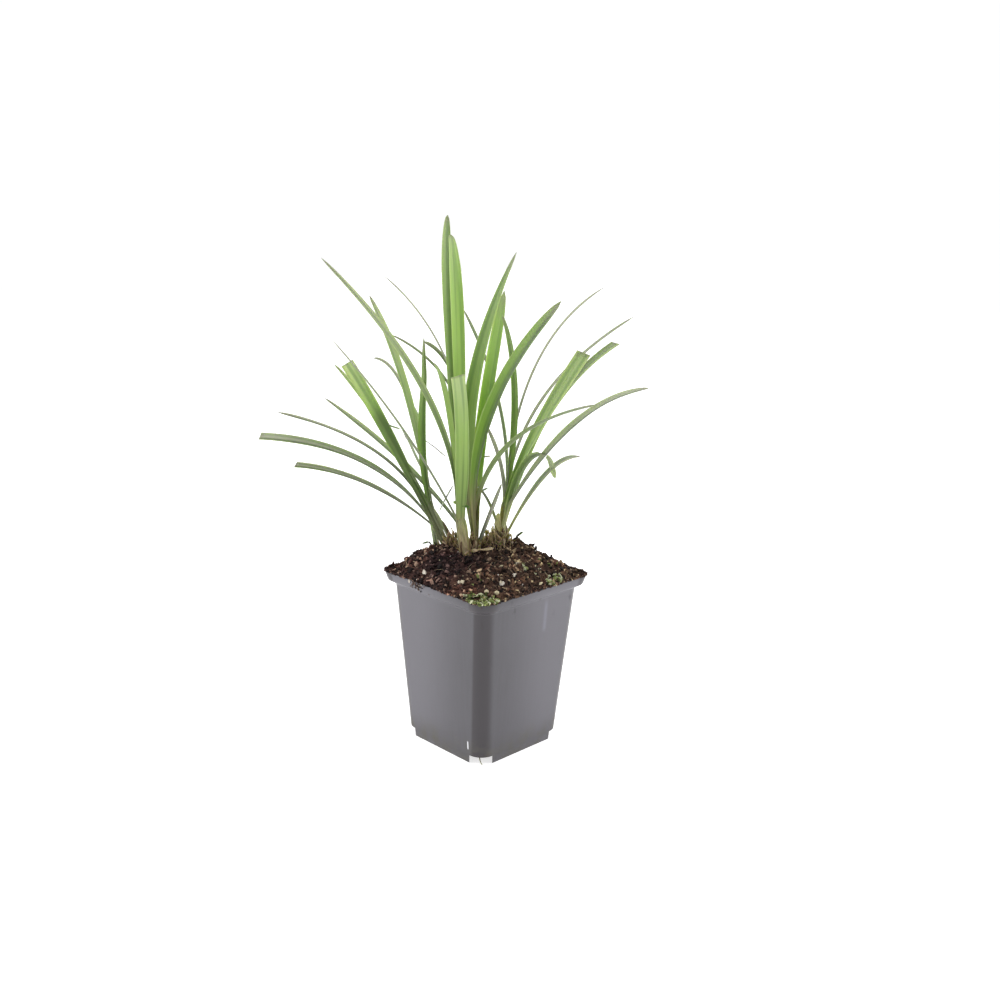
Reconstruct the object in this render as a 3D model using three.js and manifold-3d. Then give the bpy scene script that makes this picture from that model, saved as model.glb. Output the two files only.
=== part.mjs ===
// Liriope (lily turf) growing in its square plastic nursery pot.
// Millimetres, +Z up. The origin is on the pot's axis, level with the bottom of its feet,
// and the pot's sides lie along X and Y.
import * as THREE from 'three';
import { mergeVertices } from 'three/addons/utils/BufferGeometryUtils.js';
import Module from 'manifold-3d';

const wasm = await Module();
wasm.setup();

// ---- driving dimensions -------------------------------------------------------------------
const gap = 0.3;              // clear air between two nodes that touch on the real thing

const pot = {
  height: 102,
  baseWidth: 65,              // across the feet
  bodyTopWidth: 79,           // just under the collar
  collarLowWidth: 85.5,
  rimWidth: 88,
  shoulderFrom: 94.8,         // the wall steps out here ...
  shoulderTo: 96.8,           // ... and the collar's upright band starts here
  cornerRadius: 9,
  wall: 1.2,
  floorUnder: 4,              // the floor is raised on the skirt
  floorTop: 5.2,
  notchHeight: 4,             // each corner is cut away between the feet
  notchWidth: 13,
  notchReach: 30,             // of the cutting block, which clears the corner both ways
  drainRadius: 3.6,
  drainFromAxis: 25,          // along X and along Y
  drainReach: 4,              // of the cutter, which goes right through the floor
  drainSides: 14,
  cornerSteps: 5,
  frontCorner: -Math.PI / 4,  // the way it faces, from the axis
  look: { color: 0x77757b, roughness: 0.55, metalness: 0 },
};

const soil = {
  edgeHeight: 101.5,          // where it meets the collar
  crownHeight: 111.5,         // at the middle of the mound
  domePower: 4,               // how flat the mound's top is, and how steep its edge
  lumpHeight: 0.8,
  cells: 22,                  // of the surface grid, each way
  rimPlay: 0.4,               // between the mound and the rim's inside
  headroom: 10,               // of the cutters, above the mound
  wellPlay: 2.3,              // room round a shoot in its hole in the soil
  wellSides: 12,
  look: { color: 0x2e2320, roughness: 0.95, metalness: 0 },
};

// Bark chips in the soil's surface. Pairs are the least and the most.
const chips = {
  count: 46,
  length: [3, 7],
  width: [1.6, 3.2],
  thickness: [1, 2],
  pitch: [-0.5, 0.5],
  tilt: [-0.6, 0.6],
  raised: 0.2,
  fromRim: 6,
  seed: 7,
};

// A thin root that has found its way out of the front drain hole, as seen along the diagonal:
// [sideways, out from the axis, height], from inside the soil to its tip.
const looseRoot = {
  path: [[-0.8, 35, 7.5], [-0.8, 38, 4.2], [-0.3, 41.5, 2.4], [1, 43.6, 0.8]],
  radius: 0.45,
  steps: 6,
  sides: 5,
};

const clumpTurn = Math.PI / 4;  // the clump's own frame is turned against the pot

// The sheath of leaf bases goes from its foot, in its hole in the soil, past the neck to a blunt
// top. Along is 0 at the shoot's base and 1 at its neck, and size is a share of its full section.
const sheath = {
  sides: 9,
  levels: [
    { z: 93, along: -0.1, size: 0.55 },
    { z: 104, along: 0, size: 0.85 },
    { z: 112, along: 0.5, size: 1 },
    { z: 120, along: 1, size: 0.9 },
    { z: 127, along: 1.3, size: 0.5 },
    { z: 131, along: 1.5, size: 0.2 },
  ],
  wellAlong: 0.25,            // where the hole in the soil is centred
};

const blade = {
  foot: 118,                  // height at which the blades leave their sheath
  thickness: 0.7,
  stations: 10,
  footShare: 0.5,             // of its full width, at the foot
  fullFrom: 0.45,             // along the blade, where it reaches its full width ...
  taperFrom: 0.62,            // ... and where it starts to taper
  taperPower: 1.6,
  tipShare: 0.12,
  gutter: 0.75,               // how far the midrib lies below the margins ...
  gutterWidth: 6,             // ... of a blade of this width or more
};

// Each shoot is a sheath of leaf bases with its blades. Places are [right, away] or
// [right, away, height] in the clump's frame: base in the soil, neck where the blades part, and
// spread and depth are half the sheath's size, right and away. A blade runs from its root to its tip:
//   bow    how far it arches above the straight line from root to tip
//   peak   where along that line it arches most, 0 at the root and 1 at the tip
//   sway   how far it bends sideways, to the left as seen from the root
//   roll   degrees it is turned about its own length, at the root and at the tip
//   end    'point', or 'cut' where the tip was clipped, with its slant
const shoots = [
  {
    name: 'shoot_left', color: 0x648a48, base: [-25, 18], neck: [-29, 21], spread: 6.4, depth: 4,
    blades: [
      { root: [-33, 21], tip: [-97, 28, 276], bow: 19, peak: 0.69, width: 5, roll: [-34, -22] },
      { root: [-30, 21], tip: [-37, 6, 235], bow: 3, peak: 0.2, sway: -5, width: 4.5, roll: [-20, -30] },
      { root: [-24, 21], tip: [-82, 14, 219], bow: 1, peak: 0.9, width: 7, roll: [-30, -60],
        end: 'cut', slant: -0.2 },
      { root: [-27, 22], tip: [-90, 20, 218], bow: 3, peak: 1, width: 4, roll: [-30, -30] },
      { root: [-28, 22], tip: [-96, 26, 196], bow: 9, peak: 0.45, width: 4, roll: [-26, -18] },
      { root: [-28, 20], tip: [-128, 0, 178], bow: 16, peak: 0.46, width: 6.5, roll: [-20, -32],
        end: 'cut', slant: 0.12 },
      { root: [-29, 19], tip: [-110, 4, 162], bow: 9, peak: 0.57, width: 4.5, roll: [-24, -32],
        end: 'cut', slant: 0.2 },
      { root: [-31, 22], tip: [-70, 48, 218], bow: 15, peak: 0.87, width: 2.2, roll: [20, 20] },
      { root: [-30, 23], tip: [-49, 74, 186], bow: 12, peak: 0.7, width: 5, roll: [50, 40] },
    ],
  },
  {
    name: 'shoot_middle', color: 0x8fb06c, base: [-10, 3], neck: [-13, 2], spread: 4.6, depth: 3.6,
    blades: [
      { root: [-10, 2], tip: [-119, 2, 192], bow: 16, peak: 0.41, width: 2.8, roll: [-20, -20] },
      { root: [-9.5, 2], tip: [-84, -20, 236], bow: 4, peak: 0.5, width: 2.8, roll: [-20, -20] },
      { root: [-16, 2], tip: [-63, -34, 262], bow: 14, peak: 0.34, width: 5, roll: [5, 8] },
      { root: [-14, 3], tip: [-31, -8, 224], bow: 6, peak: 0.88, sway: -3, width: 5, roll: [12, 8] },
      { root: [-14, 1], tip: [-16, -46, 223], bow: 12, peak: 0.5, width: 8.5, roll: [0, 0],
        end: 'cut', slant: 0.1 },
      { root: [-12, 3], tip: [-25, 22, 302], bow: 5, peak: 0.79, sway: 6.5, width: 6.5, roll: [8, 18] },
      { root: [-14, 2], tip: [-22, -14, 293], bow: 8, peak: 0.9, sway: -1.5, width: 8, roll: [-6, -12] },
    ],
  },
  {
    name: 'shoot_centre', color: 0x78994e, base: [-6, 15.5], neck: [-6.5, 15], spread: 3.8, depth: 3.6,
    blades: [
      { root: [-8, 16], tip: [-63, 56, 266], bow: 20, peak: 0.6, sway: -5.5, width: 2.4, roll: [10, 0] },
      { root: [-8, 15], tip: [-40, 44, 229], bow: 14, peak: 0.83, sway: -5, width: 2.8, roll: [10, 0] },
      { root: [-8, 15.5], tip: [-60, 56, 231], bow: 20, peak: 0.62, sway: -10.5, width: 2.6,
        roll: [10, 0] },
      { root: [-5, 16], tip: [13, 48, 281], bow: 12, peak: 0.57, sway: 9.5, width: 7, roll: [4, -24] },
      { root: [-7.5, 16], tip: [7, 70, 257], bow: 14, peak: 0.25, sway: -1, width: 7, roll: [-26, -18],
        end: 'cut', slant: 0.3 },
      { root: [-6, 14], tip: [37, -22, 260], bow: 14, peak: 0.48, sway: -10, width: 8.5, roll: [10, -6] },
      { root: [-6.5, 14.5], tip: [57, -36, 207], bow: 22.5, peak: 0.4, sway: -1, width: 3.5,
        roll: [-18, -26] },
      { root: [-7, 14], tip: [8, -4, 151], bow: 0, width: 3, roll: [-20, -20] },
      { root: [-7, 17], tip: [-20, 84, 190], bow: 18, peak: 0.5, width: 6, roll: [0, 0] },
      { root: [-6, 17], tip: [-9, 78, 172], bow: 16, peak: 0.5, width: 5, roll: [0, 20] },
    ],
  },
  {
    name: 'shoot_right', color: 0x829c58, base: [3, 19.5], neck: [8.5, 24], spread: 6.6, depth: 4,
    blades: [
      { root: [7, 25], tip: [6, 30, 247], bow: 6, peak: 0.67, sway: -7, width: 5, roll: [-48, -62] },
      { root: [8, 23], tip: [-16, 20, 251], bow: 12, peak: 0.47, sway: 8, width: 2.6, roll: [30, 20] },
      { root: [8, 22.5], tip: [-1, 8, 187], bow: 8, peak: 0.43, sway: 1.5, width: 2, roll: [30, 20] },
      { root: [7.5, 23.5], tip: [-4, 14, 149], bow: 2, peak: 0.6, width: 2, roll: [30, 20] },
      { root: [12, 24.5], tip: [64, 40, 263], bow: 21.5, peak: 0.65, width: 2.8, roll: [18, 6] },
      { root: [12.5, 25], tip: [83, 44, 247], bow: 23, peak: 0.47, sway: 1, width: 2.8, roll: [12, 4] },
      { root: [8, 24], tip: [51, -6, 231], bow: 8, peak: 0.2, width: 7.5, roll: [-6, -40],
        end: 'cut' },
      { root: [5, 24], tip: [72, 30, 232], bow: 10, peak: 0.63, width: 4.5, roll: [38, 34],
        end: 'cut', slant: -0.3 },
      { root: [5.5, 22], tip: [83, -47, 219], bow: 15.5, peak: 0.64, width: 5, roll: [-12, -26] },
      { root: [13, 24.5], tip: [55, 54, 160], bow: 10, peak: 0.76, width: 4.5, roll: [6, 14] },
      { root: [9, 23], tip: [30, 0, 173], bow: 10, peak: 0.79, sway: 1, width: 6, roll: [0, -26],
        end: 'cut', slant: 0.2 },
      { root: [9, 26], tip: [40, 84, 196], bow: 14, peak: 0.6, width: 6, roll: [30, 10] },
    ],
  },
];

// ---- solids -------------------------------------------------------------------------------

// Skins a stack of rings, each the same number of points in the same turning sense, and closes
// both ends. An edge of the ring for which mirrored() is true is split along the other diagonal.
function loft(rings, mirrored = () => false) {
  const count = rings[0].length;
  const points = rings.flat();
  const faces = [];
  for (let i = 0; i + 1 < rings.length; i++) {
    for (let j = 0; j < count; j++) {
      const k = (j + 1) % count;
      const [a, b] = [i * count + j, i * count + k];
      const [c, d] = [a + count, b + count];
      if (mirrored(j)) faces.push(a, b, c, b, d, c);
      else faces.push(a, b, d, a, d, c);
    }
  }
  const lastStart = (rings.length - 1) * count;
  points.push(middleOf(rings[0]), middleOf(rings[rings.length - 1]));
  const [firstHub, lastHub] = [points.length - 2, points.length - 1];
  for (let j = 0; j < count; j++) {
    const k = (j + 1) % count;
    faces.push(k, j, firstHub, lastStart + j, lastStart + k, lastHub);
  }
  const geometry = new THREE.BufferGeometry().setFromPoints(points);
  geometry.setIndex(faces);
  return geometry;
}

function middleOf(points) {
  const middle = new THREE.Vector3();
  for (const point of points) middle.add(point);
  return middle.divideScalar(points.length);
}

function toSolid(geometry) {
  const bare = geometry.clone();
  bare.deleteAttribute('normal');
  bare.deleteAttribute('uv');
  const merged = mergeVertices(bare);
  return new wasm.Manifold(new wasm.Mesh({
    numProp: 3,
    vertProperties: Float32Array.from(merged.attributes.position.array),
    triVerts: Uint32Array.from(merged.index.array),
  }));
}

function joined(solids) {
  return solids.reduce((whole, next) => whole.add(next));
}

// The one body that counts: loose scraps are dropped and sealed hollows filled.
function mainBody(solid) {
  const pieces = solid.decompose();
  return pieces.reduce((best, piece) => (piece.volume() > best.volume() ? piece : best));
}

function toMesh(name, solid, look) {
  const { vertProperties, triVerts } = mainBody(solid).getMesh();
  const geometry = new THREE.BufferGeometry();
  geometry.setAttribute('position', new THREE.BufferAttribute(vertProperties, 3));
  geometry.setIndex(new THREE.BufferAttribute(triVerts, 1));
  geometry.computeVertexNormals();
  const mesh = new THREE.Mesh(geometry, new THREE.MeshStandardMaterial(look));
  mesh.name = name;
  return mesh;
}

// A small repeatable random number source: each call gives a value between low and high.
function randomSource(seed) {
  const [factor, step, modulus] = [1664525, 1013904223, 2 ** 32];
  let state = seed;
  return ([low, high]) => {
    state = (state * factor + step) % modulus;
    return low + (high - low) * state / modulus;
  };
}

// ---- pot ----------------------------------------------------------------------------------

// A ring of the pot: a square with round corners at height z, anticlockwise seen from above.
function roundedSquare(halfWidth, radius, z, steps = pot.cornerSteps) {
  const centre = halfWidth - radius;
  const ring = [];
  for (let corner = 0; corner < 4; corner++) {
    const start = corner * Math.PI / 2;
    const arcX = centre * Math.SQRT2 * Math.cos(start + Math.PI / 4);
    const arcY = centre * Math.SQRT2 * Math.sin(start + Math.PI / 4);
    for (let step = 0; step <= steps; step++) {
      const angle = start + (step / steps) * Math.PI / 2;
      ring.push(new THREE.Vector3(arcX + radius * Math.cos(angle), arcY + radius * Math.sin(angle), z));
    }
  }
  return ring;
}

// Half the pot's outside width at height z: a straight taper below the collar.
function bodyHalfWidth(z) {
  return THREE.MathUtils.lerp(pot.baseWidth, pot.bodyTopWidth, z / pot.shoulderFrom) / 2;
}

function makePot() {
  const { wall, cornerRadius } = pot;
  const outside = [
    [bodyHalfWidth(0), 0],
    [bodyHalfWidth(pot.shoulderFrom), pot.shoulderFrom],
    [pot.collarLowWidth / 2, pot.shoulderTo],
    [pot.rimWidth / 2, pot.height],
  ];
  const inside = [
    [pot.rimWidth / 2 - wall, pot.height],
    [pot.collarLowWidth / 2 - wall, pot.shoulderTo + wall],
    [bodyHalfWidth(pot.shoulderFrom) - wall, pot.shoulderFrom + wall],
    [bodyHalfWidth(pot.floorTop) - wall, pot.floorTop],
  ];
  const rings = [];
  for (const [half, z] of outside) rings.push(roundedSquare(half, cornerRadius, z));
  for (const [half, z] of inside) rings.push(roundedSquare(half, cornerRadius - wall, z));
  let shell = toSolid(loft(rings));

  const underFloor = toSolid(loft([
    roundedSquare(bodyHalfWidth(0) - wall, cornerRadius - wall, -1),
    roundedSquare(bodyHalfWidth(pot.floorUnder) - wall, cornerRadius - wall, pot.floorUnder),
  ]));
  shell = shell.subtract(underFloor);

  const { notchReach, notchWidth, notchHeight, drainRadius, drainReach, drainSides } = pot;
  for (let corner = 0; corner < 4; corner++) {
    const angle = pot.frontCorner + corner * Math.PI / 2;
    const notch = new THREE.BoxGeometry(notchReach, notchWidth, 2 * notchHeight);
    notch.translate(bodyHalfWidth(0) * Math.SQRT2, 0, 0);
    notch.rotateZ(angle);
    const drain = new THREE.CylinderGeometry(drainRadius, drainRadius, drainReach, drainSides);
    drain.rotateX(Math.PI / 2);
    drain.translate(pot.drainFromAxis * Math.SQRT2, 0, (pot.floorUnder + pot.floorTop) / 2);
    drain.rotateZ(angle);
    shell = shell.subtract(toSolid(notch)).subtract(toSolid(drain));
  }
  return toMesh('pot', shell, pot.look);
}

// ---- soil ---------------------------------------------------------------------------------

// The soil's height: a square mound with lumps, of waves that never line up, which level out
// towards the collar. Share is 0 on the axis and 1 at the rim.
function soilHeight(x, y) {
  const share = Math.min(1, (x ** 4 + y ** 4) ** 0.25 / (pot.rimWidth / 2 - pot.wall));
  const dome = 1 - share ** soil.domePower;
  const lumps = Math.sin(x * 0.47 + 1.3) * Math.sin(y * 0.53 + 0.4)
    + 0.7 * Math.sin(x * 1.05 - y * 0.6) + 0.5 * Math.sin(y * 1.31 + x * 0.83 + 2);
  const level = THREE.MathUtils.lerp(soil.edgeHeight, soil.crownHeight, dome);
  return level + soil.lumpHeight * lumps * Math.min(1, 3 * (1 - share));
}

function makeSoil() {
  const { wall, cornerRadius } = pot;
  const inner = cornerRadius - wall - gap;
  const clearTop = soil.crownHeight + soil.headroom;
  const sides = [
    [bodyHalfWidth(pot.floorTop) - wall - gap, pot.floorTop + gap],
    [bodyHalfWidth(pot.shoulderFrom) - wall - gap, pot.shoulderFrom + wall + gap],
    [pot.collarLowWidth / 2 - wall - gap, pot.shoulderTo + wall + gap],
    [pot.rimWidth / 2 - wall - soil.rimPlay, pot.height],
    [pot.rimWidth / 2 - wall - soil.rimPlay, clearTop],
  ];
  const inside = toSolid(loft(sides.map(([half, z]) => roundedSquare(half, inner, z))));

  // A block whose top is the mound, a little larger than the pot, to be trimmed to its inside.
  const ground = new THREE.BoxGeometry(
    pot.rimWidth + 4, pot.rimWidth + 4, pot.height, soil.cells, soil.cells, 1,
  );
  const places = ground.attributes.position;
  for (let i = 0; i < places.count; i++) {
    if (places.getZ(i) > 0) places.setZ(i, soilHeight(places.getX(i), places.getY(i)));
  }
  let body = toSolid(ground);

  const random = randomSource(chips.seed);
  const reach = pot.rimWidth / 2 - wall - chips.fromRim;
  for (let chip = 0; chip < chips.count; chip++) {
    const x = random([-reach, reach]);
    const y = random([-reach, reach]);
    const size = [chips.length, chips.width, chips.thickness].map(random);
    const shape = new THREE.BoxGeometry(...size);
    shape.rotateX(random(chips.pitch));
    shape.rotateY(random(chips.tilt));
    shape.rotateZ(random([0, Math.PI]));
    shape.translate(x, y, soilHeight(x, y) + chips.raised);
    body = body.add(toSolid(shape));
  }
  body = body.intersect(inside).add(toSolid(makeLooseRoot()));

  // The shoots' holes, whose floors lie just under the shoots' feet.
  const wellFloor = sheath.levels[0].z - gap;
  for (const { base, neck, spread, depth } of shoots) {
    const well = new THREE.CylinderGeometry(1, 1, clearTop - wellFloor, soil.wellSides);
    well.rotateX(Math.PI / 2);
    well.scale(spread + soil.wellPlay, depth + soil.wellPlay, 1);
    const [u, v] = [0, 1].map((i) => THREE.MathUtils.lerp(base[i], neck[i], sheath.wellAlong));
    well.translate(u, v, (clearTop + wellFloor) / 2);
    well.rotateZ(clumpTurn);
    body = body.subtract(toSolid(well));
  }
  return toMesh('soil', body, soil.look);
}

function makeLooseRoot() {
  const points = looseRoot.path.map(([sideways, out, z]) => new THREE.Vector3(out, sideways, z));
  const section = new THREE.Shape();
  for (let side = 0; side < looseRoot.sides; side++) {
    const angle = (side / looseRoot.sides) * Math.PI * 2;
    const [x, y] = [Math.cos(angle) * looseRoot.radius, Math.sin(angle) * looseRoot.radius];
    if (side) section.lineTo(x, y);
    else section.moveTo(x, y);
  }
  const root = new THREE.ExtrudeGeometry(section, {
    steps: looseRoot.steps,
    extrudePath: new THREE.CatmullRomCurve3(points),
  });
  root.rotateZ(pot.frontCorner);
  return root;
}

// ---- shoots -------------------------------------------------------------------------------

function makeSheath({ base, neck, spread, depth }) {
  const rings = sheath.levels.map(({ z, along, size }) => {
    const u = THREE.MathUtils.lerp(base[0], neck[0], along);
    const v = THREE.MathUtils.lerp(base[1], neck[1], along);
    const ring = [];
    for (let side = 0; side < sheath.sides; side++) {
      const angle = (side / sheath.sides) * Math.PI * 2;
      ring.push(new THREE.Vector3(
        u + Math.cos(angle) * spread * size,
        v + Math.sin(angle) * depth * size,
        z,
      ));
    }
    return ring;
  });
  return loft(rings);
}

// Share of a blade's full width at t, from its narrow foot to its tip.
function widthShare(t, end) {
  const grown = THREE.MathUtils.smoothstep(t, 0, blade.fullFrom);
  const share = THREE.MathUtils.lerp(blade.footShare, 1, grown);
  if (end === 'cut' || t < blade.taperFrom) return share;
  const past = (t - blade.taperFrom) / (1 - blade.taperFrom);
  return share * Math.sqrt(1 - past ** blade.taperPower) + blade.tipShare * past;
}

function makeBlade({ root, tip, bow, peak = 0.5, sway = 0, width, roll, end = 'point', slant = 0 }) {
  const from = new THREE.Vector3(...root, blade.foot);
  const to = new THREE.Vector3(...tip);
  const chord = to.clone().sub(from);
  const up = new THREE.Vector3(0, 0, 1);
  const heading = new THREE.Vector3(chord.x, chord.y, 0).normalize();
  const side = up.clone().cross(heading);
  const above = chord.clone().normalize().cross(side);
  const pull = from.clone().addScaledVector(chord, peak);
  pull.addScaledVector(above, 2 * bow).addScaledVector(side, 2 * sway);
  const spine = new THREE.QuadraticBezierCurve3(from, pull, to);

  const half = blade.thickness / 2;
  const gutter = blade.gutter * Math.min(1, width / blade.gutterWidth);
  const last = blade.stations - 1;
  const rings = [];
  for (let station = 0; station <= last; station++) {
    const t = station / last;
    const point = spine.getPoint(t);
    const along = spine.getTangent(t);
    const angle = THREE.MathUtils.degToRad(THREE.MathUtils.lerp(roll[0], roll[1], t));
    const across = side.clone().addScaledVector(along, -side.dot(along)).normalize();
    across.applyAxisAngle(along, angle);
    const face = along.clone().cross(across);
    const reach = width * widthShare(t, end) / 2;
    const dip = gutter * Math.sin(Math.PI * t);
    const slip = station === last ? slant * width : 0;
    const at = (x, y) => point.clone().addScaledVector(across, x * reach)
      .addScaledVector(face, y).addScaledVector(along, x * slip);
    rings.push([
      at(-1, half), at(0, half - dip), at(1, half),
      at(1, -half), at(0, -half - dip), at(-1, -half),
    ]);
  }
  return loft(rings.map((ring) => ring.reverse()), (edge) => edge === 0 || edge === 1);
}

function makeShoot(shoot) {
  const solids = [toSolid(makeSheath(shoot))];
  for (const blade of shoot.blades) solids.push(toSolid(makeBlade(blade)));
  return toMesh(shoot.name, joined(solids), { color: shoot.color, roughness: 0.5, metalness: 0 });
}

// ---- assembly -----------------------------------------------------------------------------

const liriope = new THREE.Group();
liriope.add(makePot(), makeSoil());

const clump = new THREE.Group();
clump.rotation.z = clumpTurn;
for (const shoot of shoots) clump.add(makeShoot(shoot));
liriope.add(clump);

export default liriope;
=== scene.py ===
import math
import random

import bmesh
import bpy
from mathutils import Matrix, Vector, noise


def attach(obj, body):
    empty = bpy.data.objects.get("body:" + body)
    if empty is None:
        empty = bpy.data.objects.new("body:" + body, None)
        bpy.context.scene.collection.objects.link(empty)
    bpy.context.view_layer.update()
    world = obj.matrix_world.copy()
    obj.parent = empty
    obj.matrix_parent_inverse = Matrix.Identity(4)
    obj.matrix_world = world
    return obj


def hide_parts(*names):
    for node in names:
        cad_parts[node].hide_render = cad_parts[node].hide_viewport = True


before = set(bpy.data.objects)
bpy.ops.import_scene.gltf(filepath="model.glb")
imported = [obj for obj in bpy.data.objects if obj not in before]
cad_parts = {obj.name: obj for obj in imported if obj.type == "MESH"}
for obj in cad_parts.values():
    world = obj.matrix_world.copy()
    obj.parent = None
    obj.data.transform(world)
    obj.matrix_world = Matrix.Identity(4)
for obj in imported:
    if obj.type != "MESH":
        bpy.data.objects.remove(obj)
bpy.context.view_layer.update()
mm = 0.001
print("frame loaded")


# node building: a Wire is one output socket, and arithmetic on it adds the Math nodes

wideKinds = ("VECTOR", "RGBA")
measuring = ("DOT_PRODUCT", "LENGTH", "DISTANCE")


def isWide(value):
    if isinstance(value, Wire):
        return value.socket.type in wideKinds
    return isinstance(value, (tuple, list, Vector))


def pick(sockets, key):
    usable = [socket for socket in sockets if socket.enabled]
    if isinstance(key, int):
        return usable[key]
    return next(socket for socket in usable if socket.name == key)


class Wire:
    def __init__(self, kit, socket):
        self.kit = kit
        self.socket = socket

    def work(self, operation, first, second=None):
        values = {0: first} if second is None else {0: first, 1: second}
        if any(isWide(value) for value in values.values()):
            out = "Value" if operation in measuring else "Vector"
            return self.kit.add("ShaderNodeVectorMath", {"operation": operation}, values, out)
        return self.kit.add("ShaderNodeMath", {"operation": operation}, values)

    def calc(self, operation, other=None):
        return self.work(operation, self, other)

    def __add__(self, other):
        return self.work("ADD", self, other)

    def __radd__(self, other):
        return self.work("ADD", other, self)

    def __sub__(self, other):
        return self.work("SUBTRACT", self, other)

    def __rsub__(self, other):
        return self.work("SUBTRACT", other, self)

    def __mul__(self, other):
        return self.work("MULTIPLY", self, other)

    def __rmul__(self, other):
        return self.work("MULTIPLY", other, self)

    def __truediv__(self, other):
        return self.work("DIVIDE", self, other)

    def __pow__(self, other):
        return self.work("POWER", self, other)


class Kit:
    def __init__(self, tree):
        self.tree = tree

    def plug(self, socket, value):
        if isinstance(value, Wire):
            self.tree.links.new(value.socket, socket)
        elif socket.type == "RGBA" and isinstance(value, (int, float)):
            socket.default_value = (value, value, value, 1)
        elif socket.type == "VECTOR" and isinstance(value, (int, float)):
            socket.default_value = (value, value, value)
        else:
            socket.default_value = value

    # any node: its settings first, then the values or wires of its sockets
    def add(self, kind, settings=None, sockets=None, out=0):
        node = self.tree.nodes.new(kind)
        for name, value in (settings or {}).items():
            setattr(node, name, value)
        for key, value in (sockets or {}).items():
            self.plug(pick(node.inputs, key), value)
        return Wire(self, pick(node.outputs, out))

    def parts(self, vector):
        node = self.add("ShaderNodeSeparateXYZ", {}, {"Vector": vector}).socket.node
        return [Wire(self, socket) for socket in node.outputs]

    def join(self, x, y, z):
        return self.add("ShaderNodeCombineXYZ", {}, {"X": x, "Y": y, "Z": z})

    def lerp(self, share, low, high):
        kind = "VECTOR" if isWide(low) or isWide(high) else "FLOAT"
        return self.add("ShaderNodeMix", {"data_type": kind}, {"Factor": share, "A": low, "B": high})

    def blend(self, share, low, high, how="MIX"):
        settings = {"data_type": "RGBA", "blend_type": how}
        return self.add("ShaderNodeMix", settings, {"Factor": share, "A": low, "B": high})

    # the colour times a factor, as far as the share goes
    def dim(self, share, colour, factor):
        return self.blend(share, colour, self.blend(1.0, colour, factor, "MULTIPLY"))

    # the start value on the side of low and 1 on the side of high, with a soft step between
    def step(self, value, low, high, start=0.0):
        sockets = {"Value": value, "From Min": low, "From Max": high, "To Min": start}
        return self.add("ShaderNodeMapRange", {"interpolation_type": "SMOOTHSTEP"}, sockets)

    def cloud(self, vector, scale, detail, rough=0.5, out="Fac"):
        sockets = {"Vector": vector, "Scale": scale, "Detail": detail, "Roughness": rough}
        return self.add("ShaderNodeTexNoise", {}, sockets, out)


# a colour as it looks on screen, made linear
def paint(code):
    channels = [int(code[i:i + 2], 16) / 255 for i in (0, 2, 4)]
    return tuple(c / 12.92 if c < 0.04045 else ((c + 0.055) / 1.055) ** 2.4 for c in channels) + (1,)


class Surface(Kit):
    def __init__(self, name):
        self.material = bpy.data.materials.new(name)
        self.material.use_nodes = True
        super().__init__(self.material.node_tree)
        self.shader = self.tree.nodes["Principled BSDF"]

    def set(self, **values):
        sockets = {socket.name.replace(" ", "").lower(): socket for socket in self.shader.inputs}
        for name, value in values.items():
            self.plug(sockets[name.lower()], value)
        return self.material

    def place(self):
        return self.add("ShaderNodeTexCoord", out="Object")

    def held(self, name, out="Fac"):
        return self.add("ShaderNodeAttribute", {"attribute_name": name}, out=out)

    def bump(self, height, depth, strength=1.0):
        sockets = {"Height": height, "Distance": depth, "Strength": strength}
        return self.add("ShaderNodeBump", {}, sockets)


# geometry node trees: named inputs, and an end in Realize Instances and Set Material
class Grower(Kit):
    def __init__(self, name, inputs):
        super().__init__(bpy.data.node_groups.new(name, "GeometryNodeTree"))
        face = self.tree.interface
        for label, kind in {"Geometry": "Geometry", **inputs, "Material": "Material"}.items():
            face.new_socket(label, in_out="INPUT", socket_type="NodeSocket" + kind)
        face.new_socket("Geometry", in_out="OUTPUT", socket_type="NodeSocketGeometry")
        self.source = self.tree.nodes.new("NodeGroupInput")

    def input(self, label):
        return Wire(self, self.source.outputs[label])

    def held(self, name, kind="FLOAT"):
        return self.add("GeometryNodeInputNamedAttribute", {"data_type": kind}, {"Name": name})

    # stores a number at every point
    def keep(self, geometry, name, value):
        sockets = {"Geometry": geometry, "Name": name, "Value": value}
        return self.add("GeometryNodeStoreNamedAttribute", {"data_type": "FLOAT"}, sockets)

    def realize(self, geometry):
        return self.add("GeometryNodeRealizeInstances", {}, {"Geometry": geometry})

    # one shape on every point that comes in
    def repeat(self, shape, sockets=None):
        placed = {"Points": self.input("Geometry"), "Instance": shape, **(sockets or {})}
        return self.realize(self.add("GeometryNodeInstanceOnPoints", {}, placed))

    def finish(self, geometry):
        dressed = {"Geometry": self.realize(geometry), "Material": self.input("Material")}
        done = self.add("GeometryNodeSetMaterial", {}, dressed)
        self.plug(self.tree.nodes.new("NodeGroupOutput").inputs[0], done)
        return self

    # runs the tree on a mesh and leaves a plain mesh
    def grow(self, name, start, material, values, keeping=()):
        piece = newPiece(name, start)
        modifier = piece.modifiers.new("grow", "NODES")
        modifier.node_group = self.tree
        values = {**values, "Material": material}
        for item in self.tree.interface.items_tree:
            if item.in_out == "INPUT" and item.name in values:
                modifier[item.identifier] = values[item.name]
        mesh = settle(piece, allLayers=True)
        mesh.name = name
        kept = ("position", "sharp_face", "material_index", *keeping)
        spare = [a.name for a in mesh.attributes if not a.name.startswith(".") and a.name not in kept]
        for label in spare:
            mesh.attributes.remove(mesh.attributes[label])
        print(name, len(mesh.polygons), "faces")
        return piece


def newPiece(name, data, material=None):
    piece = bpy.data.objects.new(name, data)
    bpy.context.scene.collection.objects.link(piece)
    if material:
        data.materials.append(material)
    return piece


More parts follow.
